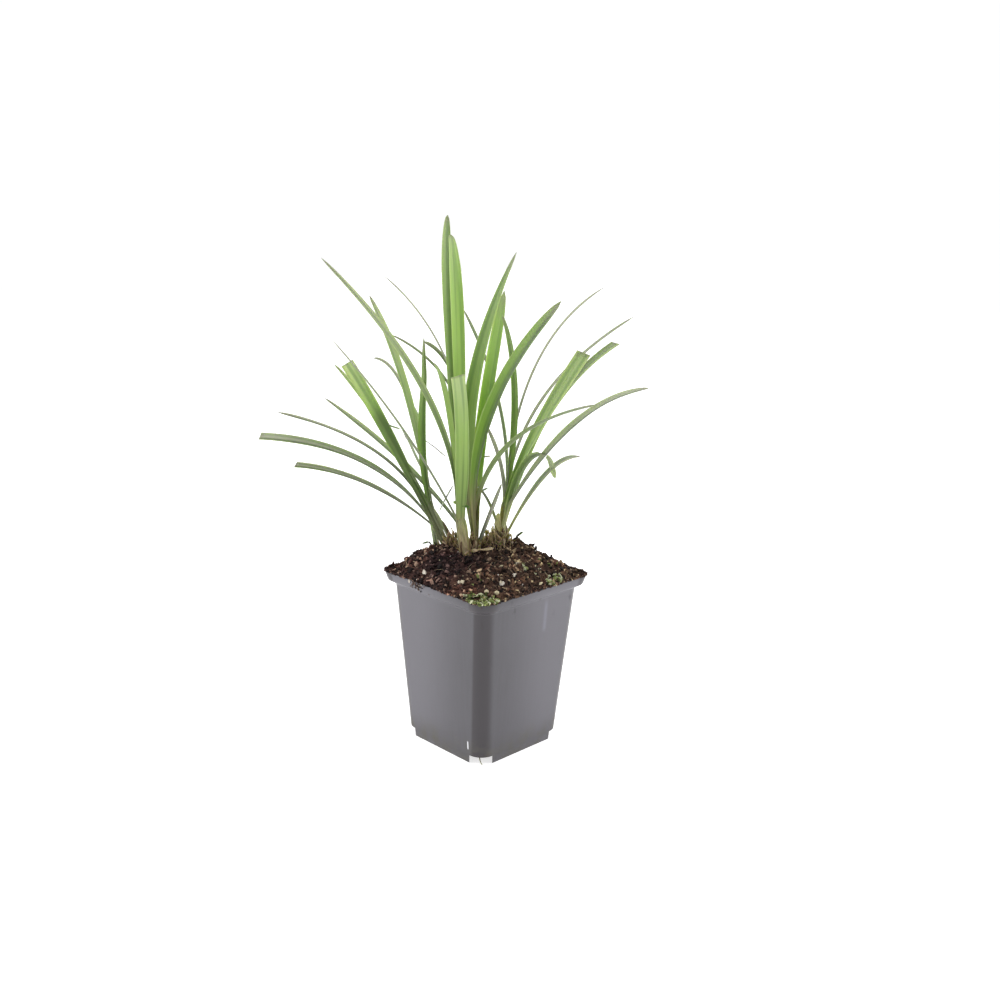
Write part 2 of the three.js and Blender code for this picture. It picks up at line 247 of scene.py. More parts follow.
# puts the mesh that a piece's modifiers make in their place
def settle(piece, allLayers=False):
    bpy.context.view_layer.update()
    graph = bpy.context.evaluated_depsgraph_get()
    mesh = bpy.data.meshes.new_from_object(
        piece.evaluated_get(graph), preserve_all_data_layers=allLayers, depsgraph=graph)
    piece.modifiers.clear()
    piece.data = mesh
    return mesh


def makeMesh(name, build):
    mesh = bpy.data.meshes.new(name)
    work = bmesh.new()
    build(work)
    work.to_mesh(mesh)
    work.free()
    return mesh


def joinRings(work, low, high):
    for i in range(len(low)):
        j = (i + 1) % len(low)
        work.faces.new((low[i], low[j], high[j], high[i]))


def fit(piece, slot, *nodes):
    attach(piece, "root")
    if nodes:
        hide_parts(*nodes)


# camera: eye-level view of the pot's front corner, a little from above
view = {
    "eye": (468.1, -456.9, 316.8),
    "heading": 45.05,
    "tilt": 14.71,
    "roll": 1.39,
    "lens": 42.59,
    "sensor": 36,
}


def makeCamera():
    heading, tilt, roll = (math.radians(view[key]) for key in ("heading", "tilt", "roll"))
    level = Vector((-math.sin(heading), math.cos(heading), 0))
    forward = level * math.cos(tilt) - Vector((0, 0, math.sin(tilt)))
    right = forward.cross(Vector((0, 0, 1))).normalized()
    up = right.cross(forward)
    rolledRight = right * math.cos(roll) + up * math.sin(roll)
    rolledUp = up * math.cos(roll) - right * math.sin(roll)
    turn = Matrix((rolledRight, rolledUp, -forward)).transposed().to_4x4()
    lens = bpy.data.cameras.new("camera")
    lens.lens = view["lens"]
    lens.sensor_width = view["sensor"]
    lens.clip_start = 0.01
    camera = newPiece("camera", lens)
    camera.matrix_world = Matrix.Translation(Vector(view["eye"]) * mm) @ turn
    bpy.context.scene.camera = camera


makeCamera()


# studio: a white sweep that glows a little, with a wide soft lamp on either hand and one overhead
studio = {
    "floorSize": 6000,
    "floorGlow": 0.68,
    "sky": (1, 1, 1, 1),
    "front": (0.32, 0.33, 0.36, 1),
    "overhead": (0.6, 0.6, 0.62, 1),
    "towardsFront": (0.70, -0.70, -0.05),
    "frontSpread": (0.0, 0.9),
    "overheadSpread": (0.45, 0.95),
    "skyStrength": 1.02,
    "aim": (0, 0, 130),
    "lamps": [
        {"place": (-950, -820, 520), "size": 900, "power": 6.0},
        {"place": (820, 950, 560), "size": 900, "power": 5.0},
        {"place": (-60, -120, 1500), "size": 600, "power": 7.0},
    ],
}


def makeStudio():
    world = bpy.data.worlds.new("studio")
    bpy.context.scene.world = world
    world.use_nodes = True
    kit = Kit(world.node_tree)
    direction = kit.add("ShaderNodeTexCoord", out="Generated")
    facing = direction.calc("DOT_PRODUCT", studio["towardsFront"])
    colour = kit.blend(kit.step(facing, *studio["frontSpread"]), studio["sky"], studio["front"])
    rise = kit.parts(direction)[2]
    colour = kit.blend(kit.step(rise, *studio["overheadSpread"]), colour, studio["overhead"])
    background = world.node_tree.nodes["Background"]
    kit.plug(background.inputs["Color"], colour)
    background.inputs["Strength"].default_value = studio["skyStrength"]

    half = studio["floorSize"] / 2 * mm
    corners = [(-half, -half, 0), (half, -half, 0), (half, half, 0), (-half, half, 0)]
    mesh = bpy.data.meshes.new("floor")
    mesh.from_pydata(corners, [], [(0, 1, 2, 3)])
    surface = Surface("whiteSweep")
    surface.set(baseColor=paint("fafafa"), roughness=0.9, emissionColor=(1, 1, 1, 1))
    floor = newPiece("floor", mesh, surface.set(emissionStrength=studio["floorGlow"]))

    for row in studio["lamps"]:
        lamp = bpy.data.lights.new("lamp", "AREA")
        lamp.energy = row["power"]
        lamp.size = row["size"] * mm
        light = newPiece("lamp", lamp)
        light.location = Vector(row["place"]) * mm
        aim = Vector(studio["aim"]) * mm - light.location
        light.rotation_euler = aim.to_track_quat("-Z", "Y").to_euler()
    settings = bpy.context.scene.view_settings
    settings.view_transform = "Standard"
    settings.look = "None"


makeStudio()
print("camera and studio ready")


# pot: a moulded square pot with a stepped collar, notched corners and a raised, drained floor
pot = {
    "height": 102,
    "baseWidth": 65,
    "bodyTopWidth": 79,
    "collarLowWidth": 85.5,
    "rimWidth": 88,
    "shoulderFrom": 94.8,
    "shoulderTo": 96.8,
    "cornerRadius": 9,
    "wall": 1.2,
    "floorUnder": 4,
    "floorTop": 5.2,
    "notchHeight": 5,
    "notchWidth": 13,
    "notchReach": 30,
    "drainRadius": 3.6,
    "drainDepth": 4,
    "drainSides": 32,
    "drainFromAxis": 25,
    "cornerSteps": 14,
    "lip": 0.45,
}


def squareRing(half, radius, z, steps):
    ring = []
    for corner in range(4):
        start = corner * math.pi / 2
        centre = (half - radius) * math.sqrt(2)
        middle = Vector((math.cos(start + math.pi / 4), math.sin(start + math.pi / 4), 0)) * centre
        for step in range(steps + 1):
            angle = start + step / steps * math.pi / 2
            ring.append(middle + Vector((math.cos(angle) * radius, math.sin(angle) * radius, z)))
    return ring


def bodyHalf(z):
    share = z / pot["shoulderFrom"]
    return (pot["baseWidth"] * (1 - share) + pot["bodyTopWidth"] * share) / 2


# skins rings of points, in mm, and closes both ends
def loftMesh(name, rings):
    def build(work):
        rows = [[work.verts.new(point * mm) for point in ring] for ring in rings]
        for low, high in zip(rows, rows[1:]):
            joinRings(work, low, high)
        work.faces.new(list(reversed(rows[0])))
        work.faces.new(rows[-1])
    return makeMesh(name, build)


def carve(piece, cutters):
    for cutter in cutters:
        modifier = piece.modifiers.new("cut", "BOOLEAN")
        modifier.operation = "DIFFERENCE"
        modifier.solver = "EXACT"
        modifier.object = cutter
    settle(piece)
    for cutter in cutters:
        bpy.data.objects.remove(cutter)


# a cutter made on the pot's axis, moved out from it and turned round it
def cutterAt(out, height, angle, make):
    def build(work):
        make(work)
        bmesh.ops.translate(work, vec=Vector((out, 0, height)) * mm, verts=work.verts)
        bmesh.ops.rotate(work, matrix=Matrix.Rotation(angle, 3, "Z"), verts=work.verts)
    return newPiece("cutter", makeMesh("cutter", build))


def notchBox(work):
    size = Vector((pot["notchReach"], pot["notchWidth"], pot["notchHeight"] * 2))
    bmesh.ops.create_cube(work, size=1)
    bmesh.ops.scale(work, vec=size * mm, verts=work.verts)


def drainTube(work):
    radius, depth = pot["drainRadius"] * mm, pot["drainDepth"] * mm
    bmesh.ops.create_cone(
        work, cap_ends=True, segments=pot["drainSides"], radius1=radius, radius2=radius, depth=depth)


def makePotSurface():
    kit = Surface("mouldedPlastic")
    place = kit.place()
    x, y, z = kit.parts(place)
    grain = kit.cloud(place, 9000, 2)
    drift = kit.cloud(place, 28, 4)
    drawn = kit.cloud(place * (1, 1, 0.06), 520, 3)
    # how far a point of the wall lies round a corner, past the end of the flat face
    flatHalf = (bodyHalf(0) - pot["cornerRadius"]) * mm
    taper = (bodyHalf(1) - bodyHalf(0)) * z
    pastX = x.calc("ABSOLUTE") - flatHalf - taper
    pastY = y.calc("ABSOLUTE") - flatHalf - taper
    # painted shade: the colour is darkened on the rounded corners, which are glossier as well
    corner = kit.step(pastX, 0.0004, 0.0022) * kit.step(pastY, -0.0006, 0.0042)
    # the foot of the wall: its colour is darkened there as painted shade, and dust lies there too
    low = kit.step(z, 0.019, 0.002)
    dust = low * kit.step(kit.cloud(place, 130, 4), 0.35, 0.75)
    # patchy darker marks high on the right face, just under the collar, where the surface is rougher too
    patchesUnderCollar = kit.step(kit.cloud(place * (1, 1, 0.4), 240, 5), 0.6, 0.74)
    patchesUnderCollar = patchesUnderCollar * kit.step(z, 0.074, 0.094) * kit.step(x, 0.03, 0.036)
    # a faint paler vertical streak high on the right face, under the collar
    paleStreak = kit.step((y - 0.0105).calc("ABSOLUTE"), 0.0022, 0.0002) * kit.step(z, 0.072, 0.076)
    paleStreak = paleStreak * kit.step(z, 0.095, 0.088) * kit.step(x, 0.03, 0.034)
    # painted glint: a small bright vertical mark low on the front left face, by the corner
    paintedGlint = kit.step((x - 0.0227).calc("ABSOLUTE"), 0.0007, 0.0002)
    paintedGlint = paintedGlint * kit.step((z - 0.011).calc("ABSOLUTE"), 0.003, 0.0018) * y.calc("LESS_THAN", -0.02)
    # painted light: the faces grow lighter towards the left and right corners and stay darker towards the
    # front and back ones
    sideways = kit.step((x + y).calc("ABSOLUTE"), 0.012, 0.055)
    colour = kit.blend(drift, paint("3e3c40"), paint("474549"))
    # the pot's marks: painted light on the side faces, painted shade low down and on the rounded corners, and
    # a painted glint near the front left corner, with moulding streaks, dust, darker patches under the collar
    # and a pale streak
    paintedLightAndMarks = [
        (sideways * 0.75, "626066"), (low * 0.5, "3d3a3a"), (drawn * 0.2, "62606a"),
        (corner * 0.85, "2c262a"), (dust * 0.55, "5f5c4a"), (patchesUnderCollar * 0.35, "2c2526"),
        (paleStreak * 0.16, "9b9ab0"), (paintedGlint * 0.9, "e6e6ea"),
    ]
    for share, code in paintedLightAndMarks:
        colour = kit.blend(share, colour, paint(code))
    rough = 0.4 - corner * 0.08 + dust * 0.3 + patchesUnderCollar * 0.2
    height = grain * 0.5 + drawn * 0.6 + drift * 2
    kit.set(baseColor=colour, roughness=rough, specularIORLevel=0.47, normal=kit.bump(height, 0.00008, 0.35))
    return kit.material


def makePot():
    wall, radius, steps, lip = pot["wall"], pot["cornerRadius"], pot["cornerSteps"], pot["lip"]
    rim, top = pot["rimWidth"] / 2, pot["height"]
    low, shoulder = pot["shoulderTo"], pot["shoulderFrom"]
    outside = [(bodyHalf(0) - 0.15, 0), (bodyHalf(0) + 0.02, 0.2)]
    outside += [(bodyHalf(z), z) for z in (20, 45, 70, shoulder - 1.2)]
    outside += [(bodyHalf(shoulder) + 0.15, shoulder), (pot["collarLowWidth"] / 2 - 0.5, low - 0.35)]
    outside += [(pot["collarLowWidth"] / 2, low), (pot["collarLowWidth"] / 2 + 0.18, low + 0.5)]
    arc = [(rim - lip + lip * math.sin(a), top - lip + lip * math.cos(a))
           for a in (math.pi / 2, math.pi / 3, math.pi / 6, 0)]
    inner = [(rim - wall + lip - lip * math.cos(a), top - lip + lip * math.sin(a))
             for a in (math.pi / 2, math.pi / 4, 0)]
    inside = inner + [
        (pot["collarLowWidth"] / 2 - wall, low + wall),
        (bodyHalf(shoulder) - wall, shoulder + wall),
        (bodyHalf(pot["floorTop"]) - wall, pot["floorTop"]),
    ]
    rings = [squareRing(half, radius, z, steps) for half, z in outside + arc]
    rings += [squareRing(half, radius - wall, z, steps) for half, z in inside]
    piece = newPiece("nursery_pot", loftMesh("nursery_pot", rings), makePotSurface())

    hollow = newPiece("hollow", loftMesh("hollow", [
        squareRing(bodyHalf(0) - wall, radius - wall, -1, steps),
        squareRing(bodyHalf(pot["floorUnder"]) - wall, radius - wall, pot["floorUnder"], steps),
    ]))
    cutters = [hollow]
    for corner in range(4):
        angle = math.pi / 4 + corner * math.pi / 2
        cutters.append(cutterAt(bodyHalf(0) * math.sqrt(2), 0, angle, notchBox))
        middle = (pot["floorUnder"] + pot["floorTop"]) / 2
        cutters.append(cutterAt(pot["drainFromAxis"] * math.sqrt(2), middle, angle, drainTube))
    carve(piece, cutters)
    piece.data.shade_smooth()
    piece.data.set_sharp_from_angle(angle=math.radians(75))  # the shoulder stays soft
    fit(piece, "pot_plastic", "pot")


makePot()
print("pot ready")


# soil: the mound of potting mix, down to the pot's floor; clods are [x, y, reach, height]
soil = {
    "edgeHeight": 101.6,
    "crownHeight": 111.5,
    "domePower": 4,
    "lumpHeight": 0.8,
    "clods": [
        (6, 26, 8, 3.4), (-4, 30, 7, 4.2), (-37, -30, 8, 3.6), (-36, -17, 10, 3.4), (-30, -4, 9, 1.6),
        (-18, -28, 8, 1.2), (24, -6, 9, 1.0), (6, -26, 7, 1.0),
    ],
    "clodFade": 4,
    "lumpFade": 3,
    "crumbHeight": 1.5,
    "gritHeight": 0.6,
    "cells": 130,
    "play": 0.3,
}
bed = {
    "half": pot["rimWidth"] / 2 - pot["wall"] - soil["play"],
    "radius": pot["cornerRadius"] - pot["wall"] - soil["play"],
}


def moundHeight(x, y):
    share = min(1, (x ** 4 + y ** 4) ** 0.25 / (pot["rimWidth"] / 2 - pot["wall"]))
    dome = 1 - share ** soil["domePower"]
    lumps = math.sin(x * 0.47 + 1.3) * math.sin(y * 0.53 + 0.4)
    lumps += 0.7 * math.sin(x * 1.05 - y * 0.6) + 0.5 * math.sin(y * 1.31 + x * 0.83 + 2)
    level = soil["edgeHeight"] + (soil["crownHeight"] - soil["edgeHeight"]) * dome
    for clodX, clodY, reach, height in soil["clods"]:
        swell = height * math.exp(-((x - clodX) ** 2 + (y - clodY) ** 2) / reach ** 2)
        level += swell * min(1, soil["clodFade"] * (1 - share))
    return level + soil["lumpHeight"] * lumps * min(1, soil["lumpFade"] * (1 - share))


def soilTop(x, y):
    crumbs = noise.noise(Vector((x, y, 4)) * 0.36) * soil["crumbHeight"]
    grit = noise.noise(Vector((x, y, 9)) * 1.1) * soil["gritHeight"]
    return moundHeight(x, y) + crumbs + grit


# a point of the square from -1 to 1, moved into the pot's rounded outline
def intoOutline(a, b, half, radius):
    x, y = a * half, b * half
    straight = half - radius
    overX, overY = abs(x) - straight, abs(y) - straight
    if overX > 0 and overY > 0:
        pull = max(overX, overY) / math.hypot(overX, overY)
        x = math.copysign(straight + overX * pull, x)
        y = math.copysign(straight + overY * pull, y)
    return x, y


# the mix is redder on the left, olive on the right and bluish black in one damp patch
def soilTint(kit, place, colour):
    x, y, z = kit.parts(place)
    side = kit.step(x + y, -0.045, 0.04)
    red = kit.step(kit.cloud(place, 90, 2), 0.52, 0.66)
    patchy = kit.cloud(place, 150, 2)
    damp = kit.step((place - (-0.003, -0.022, 0.111)).calc("LENGTH"), 0.025, 0.012)
    colour = kit.blend(1.0, colour, kit.blend(side, (1.36, 1.2, 1.22, 1), (1.74, 1.8, 1.5, 1)), "MULTIPLY")
    shades = [
        (red * 0.5, (1.15, 0.8, 0.88, 1)), (kit.step(patchy, 0.54, 0.4) * 0.8, (0.5, 0.48, 0.5, 1)),
        (kit.step(patchy, 0.5, 0.64) * 0.8, (1.6, 1.66, 1.5, 1)), (damp * 0.9, (0.38, 0.34, 0.46, 1)),
    ]
    for share, factor in shades:
        colour = kit.dim(share, colour, factor)
    return colour


def makeSoilSurface():
    kit = Surface("pottingMix")
    place = kit.place()
    clod = kit.cloud(place, 260, 4, 0.6)
    grit = kit.cloud(place, 1500, 4, 0.7)
    colour = kit.blend(clod, paint("100908"), paint("4a342e"))
    colour = kit.blend(kit.step(grit, 0.5, 0.75) * 0.7, colour, paint("6f574b"))
    colour = soilTint(kit, place, colour)
    height = clod + grit * 0.6
    kit.set(baseColor=colour, roughness=0.92, specularIORLevel=0.25, normal=kit.bump(height, 0.0012, 0.9))
    return kit.material


def makeSoil():
    last = soil["cells"]
    inset = pot["wall"] + soil["play"]
    levels = [
        (pot["collarLowWidth"] / 2 - inset, pot["shoulderTo"] + inset),
        (bodyHalf(pot["shoulderFrom"]) - inset, pot["shoulderFrom"] + inset),
        (bodyHalf(pot["floorTop"]) - inset, pot["floorTop"] + soil["play"]),
    ]

    def build(work):
        def corner(i, j, half, z=None):
            x, y = intoOutline(2 * i / last - 1, 2 * j / last - 1, half, bed["radius"])
            return work.verts.new(Vector((x, y, soilTop(x, y) if z is None else z)) * mm)
        grid = [[corner(i, j, bed["half"]) for j in range(last + 1)] for i in range(last + 1)]
        for i in range(last):
            for j in range(last):
                work.faces.new((grid[i][j], grid[i + 1][j], grid[i + 1][j + 1], grid[i][j + 1]))
        edge = [(i, 0) for i in range(last)] + [(last, j) for j in range(last)]
        edge += [(last - i, last) for i in range(last)] + [(0, last - j) for j in range(last)]
        upper = [grid[i][j] for i, j in edge]
        for half, z in levels:
            ring = [corner(i, j, half, z) for i, j in edge]
            joinRings(work, ring, upper)
            upper = ring
        work.faces.new(list(reversed(upper)))
        for face in work.faces:
            face.smooth = True

    piece = newPiece("potting_soil", makeMesh("potting_soil", build), makeSoilSurface())
    fit(piece, "potting_soil", "soil")


makeSoil()
print("soil ready")


# a mesh of loose points, which hold what a tree needs to know of each thing it grows there
def seedMesh(name, seeds):
    mesh = bpy.data.meshes.new(name)
    mesh.vertices.add(len(seeds))
    for key, first in seeds[0].items():
        if key == "spot":
            mesh.vertices.foreach_set("co", [n for seed in seeds for n in seed[key]])
        elif isinstance(first, Vector):
            values = [n for seed in seeds for n in seed[key]]
            mesh.attributes.new(key, "FLOAT_VECTOR", "POINT").data.foreach_set("vector", values)
        else:
            values = [float(seed[key]) for seed in seeds]
            mesh.attributes.new(key, "FLOAT", "POINT").data.foreach_set("value", values)
    return mesh


# bits on the soil: a tree that sets one shape on every point, then knobbles it
def buildBits(name, makeShape):
    kit = Grower(name, {"Knobble": "Float", "Grain": "Float"})
    placed = {"Rotation": kit.held("turn", "FLOAT_VECTOR"), "Scale": kit.held("size", "FLOAT_VECTOR")}
    bits = kit.repeat(makeShape(kit), placed)
    place = kit.add("GeometryNodeInputPosition")
    bulge = (kit.cloud(place, kit.input("Grain"), 1, out="Color") - (0.5, 0.5, 0.5)) * kit.input("Knobble")
    bits = kit.add("GeometryNodeSetPosition", {}, {"Geometry": bits, "Offset": bulge})
    return kit.finish(bits)


def makeBall(subdivisions):
    sizes = {"Radius": 0.5, "Subdivisions": subdivisions}
    return lambda kit: kit.add("GeometryNodeMeshIcoSphere", {}, sizes, "Mesh")


def makeShard(kit):
    sizes = {"Size": (1.0, 1.0, 1.0), "Vertices X": 4, "Vertices Y": 3, "Vertices Z": 2}
    return kit.add("GeometryNodeMeshCube", {}, sizes, "Mesh")


def makeStrand(kit):
    bend = {"Resolution": 7, "Start": (-0.5, 0.0, 0.0), "Middle": (0.05, 0.2, 0.25), "End": (0.5, 0.0, 0.05)}
    arc = kit.add("GeometryNodeCurveQuadraticBezier", {}, bend)
    ring = kit.add("GeometryNodeCurvePrimitiveCircle", {}, {"Resolution": 5, "Radius": 0.02})
    return kit.add("GeometryNodeCurveToMesh", {}, {"Curve": arc, "Profile Curve": ring, "Fill Caps": True})


def makeBitSurface(name, dark, light, odd, oddShare, tinted=False):
    kit = Surface(name)
    place = kit.place()
    tone = kit.held("tone")
    grain = kit.cloud(place * (1, 1, 2), 1700, 3, 0.6)
    colour = kit.blend(kit.step(tone, 0, 1 - oddShare), paint(dark), paint(light))
    colour = kit.blend(tone.calc("GREATER_THAN", 1 - oddShare), colour, paint(odd))
    colour = kit.dim(grain, colour, (0.35, 0.33, 0.32, 1))
    colour = soilTint(kit, place, colour) if tinted else colour
    kit.set(baseColor=colour, roughness=0.9, specularIORLevel=0.3, normal=kit.bump(grain, 0.0004, 0.6))
    return kit.material


crumbTree = buildBits("crumbs", makeBall(1))
pebbleTree = buildBits("pebbles", makeBall(2))
shardTree = buildBits("shards", makeShard)
strandTree = buildBits("strands", makeStrand)


def inOutline(x, y, half, radius):
    overX, overY = max(0, abs(x) - half + radius), max(0, abs(y) - half + radius)
    return math.hypot(overX, overY) <= radius


# where a bit comes to rest, and which way the ground faces there
def restOn(x, y, z=None):
    if z:
        return Vector((x, y, z)), Vector((0, -1, 0))
    if not inOutline(x, y, bed["half"], bed["radius"]):
        return Vector((x, y, pot["height"] + 0.1)), Vector((0, 0, 1))
    step = 0.5
    riseX = soilTop(x - step, y) - soilTop(x + step, y)
    riseY = soilTop(x, y - step) - soilTop(x, y + step)
    return Vector((x, y, soilTop(x, y))), Vector((riseX, riseY, 2 * step)).normalized()


def bitSeed(dice, place, kind):
    spot, slope = restOn(*place)
    size = [dice.uniform(low, high) for low, high in zip(kind["smallest"], kind["largest"])]
    tilt = kind["tilt"]
    lean = Vector((0, 0, 1)).rotation_difference(slope).to_matrix()
    spin = Matrix.Rotation(dice.uniform(-math.pi, math.pi), 3, "Z")
    tip = Matrix.Rotation(dice.uniform(-tilt, tilt), 3, "X")
    tip = tip @ Matrix.Rotation(dice.uniform(-tilt, tilt), 3, "Y")
    turn = (lean @ spin @ tip).to_euler()
    lift = size[2] * dice.uniform(*kind["raised"])
    return {
        "spot": (spot + slope * lift) * mm, "turn": Vector(turn), "size": Vector(size) * mm,
        "tone": dice.random(),
    }


def strew(name, tree, material, kind, spots):
    dice = random.Random(kind["seed"])
    seeds = [bitSeed(dice, place, kind) for place in spots(dice)]
    values = {"Knobble": kind["knobble"] * mm, "Grain": kind["grain"]}
    piece = tree.grow(name, seedMesh(name, seeds), material, values, ("tone",))
    fit(piece, "potting_soil")


def anywhere(count):
    def spots(dice):
        reach = bed["half"]
        rows = [(dice.uniform(-reach, reach), dice.uniform(-reach, reach)) for _ in range(count)]
        return [row for row in rows if inOutline(*row, bed["half"], bed["radius"])]
    return spots


# round patches of [x, y, reach, count]
def inPatches(patches):
    def spots(dice):
        rows = []
        for x, y, reach, count in patches:
            for _ in range(count):
                angle, away = dice.uniform(0, 2 * math.pi), reach * math.sqrt(dice.random())
                rows.append((x + math.cos(angle) * away, y + math.sin(angle) * away))
        return [row for row in rows if inOutline(*row, pot["rimWidth"] / 2 + 0.3, pot["cornerRadius"])]
    return spots


# on the pot's lip, all round but for a bare stretch
def onRim(count, bareFrom, bareTo):
    def spots(dice):
        rows = []
        low, high = bed["half"] - 1.5, pot["rimWidth"] / 2 + 0.2
        for _ in range(count):
            along, out = dice.uniform(-high, high), dice.uniform(low, high)
            x, y = dice.choice(((along, -out), (along, out), (out, along), (-out, along)))
            bare = y < -low and bareFrom < x < bareTo
            if inOutline(x, y, high, pot["cornerRadius"]) and not (bare and dice.random() < 0.9):
                rows.append((x, y))
        return rows
    return spots


# spilt on the collar's outer face, on the front left side
def onCollar(count):
    def spots(dice):
        rows = []
        for _ in range(count):
            x, z = dice.gauss(-11, 3.4), pot["height"] - abs(dice.gauss(0, 2))
            y = -(pot["rimWidth"] / 2 - (pot["height"] - z) * 0.26)
            rows.append((x, y, max(z, pot["shoulderTo"] + 0.6)))
        return rows
    return spots


crumbs = {
    "smallest": (0.6, 0.6, 0.5), "largest": (2.8, 2.2, 1.9), "tilt": 1.0, "raised": (-0.2, 0.5),
    "knobble": 1.1, "grain": 700.0, "seed": 3,
}
bigCrumbs = {
    **crumbs, "smallest": (1.8, 1.4, 1.2), "largest": (3.8, 2.8, 2.3), "raised": (-0.1, 0.4),
    "knobble": 2.2, "grain": 480.0, "seed": 4,
}
spill = {
    **crumbs, "smallest": (0.8, 0.7, 0.5), "largest": (2.2, 1.6, 1.0), "raised": (0.1, 0.5), "seed": 6,
}
rimCrumbs = {
    **crumbs, "smallest": (0.6, 0.6, 0.4), "largest": (2.4, 1.8, 1.1), "raised": (0.1, 0.4), "seed": 5,
}
bark = {
    "smallest": (1.5, 0.7, 0.5), "largest": (4.4, 2.2, 1.1), "tilt": 0.7, "raised": (0.1, 1.0),
    "knobble": 1.3, "grain": 420.0, "seed": 11,
}
barkSpikes = {
    **bark, "smallest": (2.6, 1.2, 0.8), "largest": (4.4, 1.9, 1.3), "tilt": 1.3, "raised": (1.0, 1.9),
    "seed": 14,
    "spots": [(-39.6, -25.5), (-41.5, -35), (-38, -17), (-30, 2), (-8, 34), (10, 30), (22, 32), (30, 36)],
}
fibres = {
    "smallest": (3.0, 3.0, 3.0), "largest": (8.0, 8.0, 6.0), "tilt": 0.3, "raised": (0.02, 0.1),
    "knobble": 0.8, "grain": 260.0, "seed": 23,
}
perlite = {
    "smallest": (0.6, 0.6, 0.5), "largest": (1.5, 1.3, 1.1), "tilt": 1.5, "raised": (0.1, 0.4),
    "knobble": 1.1, "grain": 900.0, "seed": 31,
}
perliteLumps = {
    **perlite, "smallest": (2.0, 1.4, 1.2), "largest": (3.4, 2.3, 1.9), "tilt": 0.7, "raised": (0.5, 0.8),
    "knobble": 2.6, "grain": 760.0, "seed": 34,
    "spots": [
        (-9.4, -37.7), (21.4, -8.2), (22.6, -11), (31.7, -8.8), (32.2, -20.3), (18.4, -35.2), (22.6, 3.5),
        (32.5, 37.9), (33.6, 36.6), (40.6, 3.0), (34, -31.1), (37, -27.9), (15.6, -35.6), (33.4, -19),
    ],
}
moss = {
    "smallest": (1.1, 0.9, 0.6), "largest": (3.4, 2.8, 1.5), "tilt": 0.8, "raised": (0.3, 0.9),
    "knobble": 1.3, "grain": 800.0, "seed": 41,
    "patches": [
        (40.5, -40.5, 3, 60), (34, -41, 4, 54), (41, -33, 3.5, 46), (28, -39, 3.5, 22), (36, -36, 4.5, 44),
        (41, 11, 2.8, 30), (40, 19, 3, 26), (31, 5, 5, 10), (26, 24, 7, 8), (20, -30, 6, 4),
    ],
}

peat = makeBitSurface("peatCrumb", "0d0706", "60473e", "a8937f", 0.13, tinted=True)
strew("soil_crumbs", crumbTree, peat, crumbs, anywhere(3900))
strew("soil_clods", pebbleTree, peat, bigCrumbs, anywhere(70))
strew("rim_crumbs", crumbTree, peat, rimCrumbs, onRim(2600, -21, 2))
spilt = makeBitSurface("spiltPeat", "3a2b27", "7d6a60", "d8d0c4", 0.12)
strew("collar_spill", crumbTree, spilt, spill, onCollar(46))
wood = makeBitSurface("barkChip", "1a110f", "5d4439", "b29c86", 0.14, tinted=True)
strew("bark_chips", shardTree, wood, bark, anywhere(620))
strew("bark_spikes", shardTree, wood, barkSpikes, lambda dice: barkSpikes["spots"])
fibre = makeBitSurface("peatFibre", "4a362c", "8a745c", "c6b290", 0.2)
strew("peat_fibres", strandTree, fibre, fibres, anywhere(220))
white = makeBitSurface("perliteGrain", "eee2c4", "fffaf0", "f5e9c2", 0.3)
strew("perlite_grains", pebbleTree, white, perlite, anywhere(60))
strew("perlite_lumps", pebbleTree, white, perliteLumps, lambda dice: perliteLumps["spots"])
cushion = makeBitSurface("mossCushion", "46541f", "a9b76e", "dfe3bb", 0.3)
strew("moss_tufts", crumbTree, cushion, moss, inPatches(moss["patches"]))
print("soil bits ready")


# leaves: places in mm in the clump's own frame, which looks along the pot's diagonal:
# [right, away] or [right, away, height]; tone is [bright, pale, lighter past the crease]
blade = {
    "rootHeight": 118,
    "baseHeight": 103,
    "kneeReach": 7,
    "gather": 0.6,
}
leafUsual = {
    "peak": 0.5, "sway": 0, "roll": (0, 0), "cut": None, "base": None, "side": None, "tone": (0.5, 0.2, 0),
    "swell": (0, 0.45, 0.5), "taper": 0.62, "fold": 1, "crease": (0, 0, 0), "creaseAt": 0.8, "shade": 0,
    "sheath": None, "sheathTop": None,
}


def clumpPoint(right, away, height):
    return Vector(((right - away) / math.sqrt(2), (right + away) / math.sqrt(2), height)) * mm


def leaf(root, tip, bow, width, **more):
    return {**leafUsual, "root": root, "tip": tip, "bow": bow, "width": width, **more}


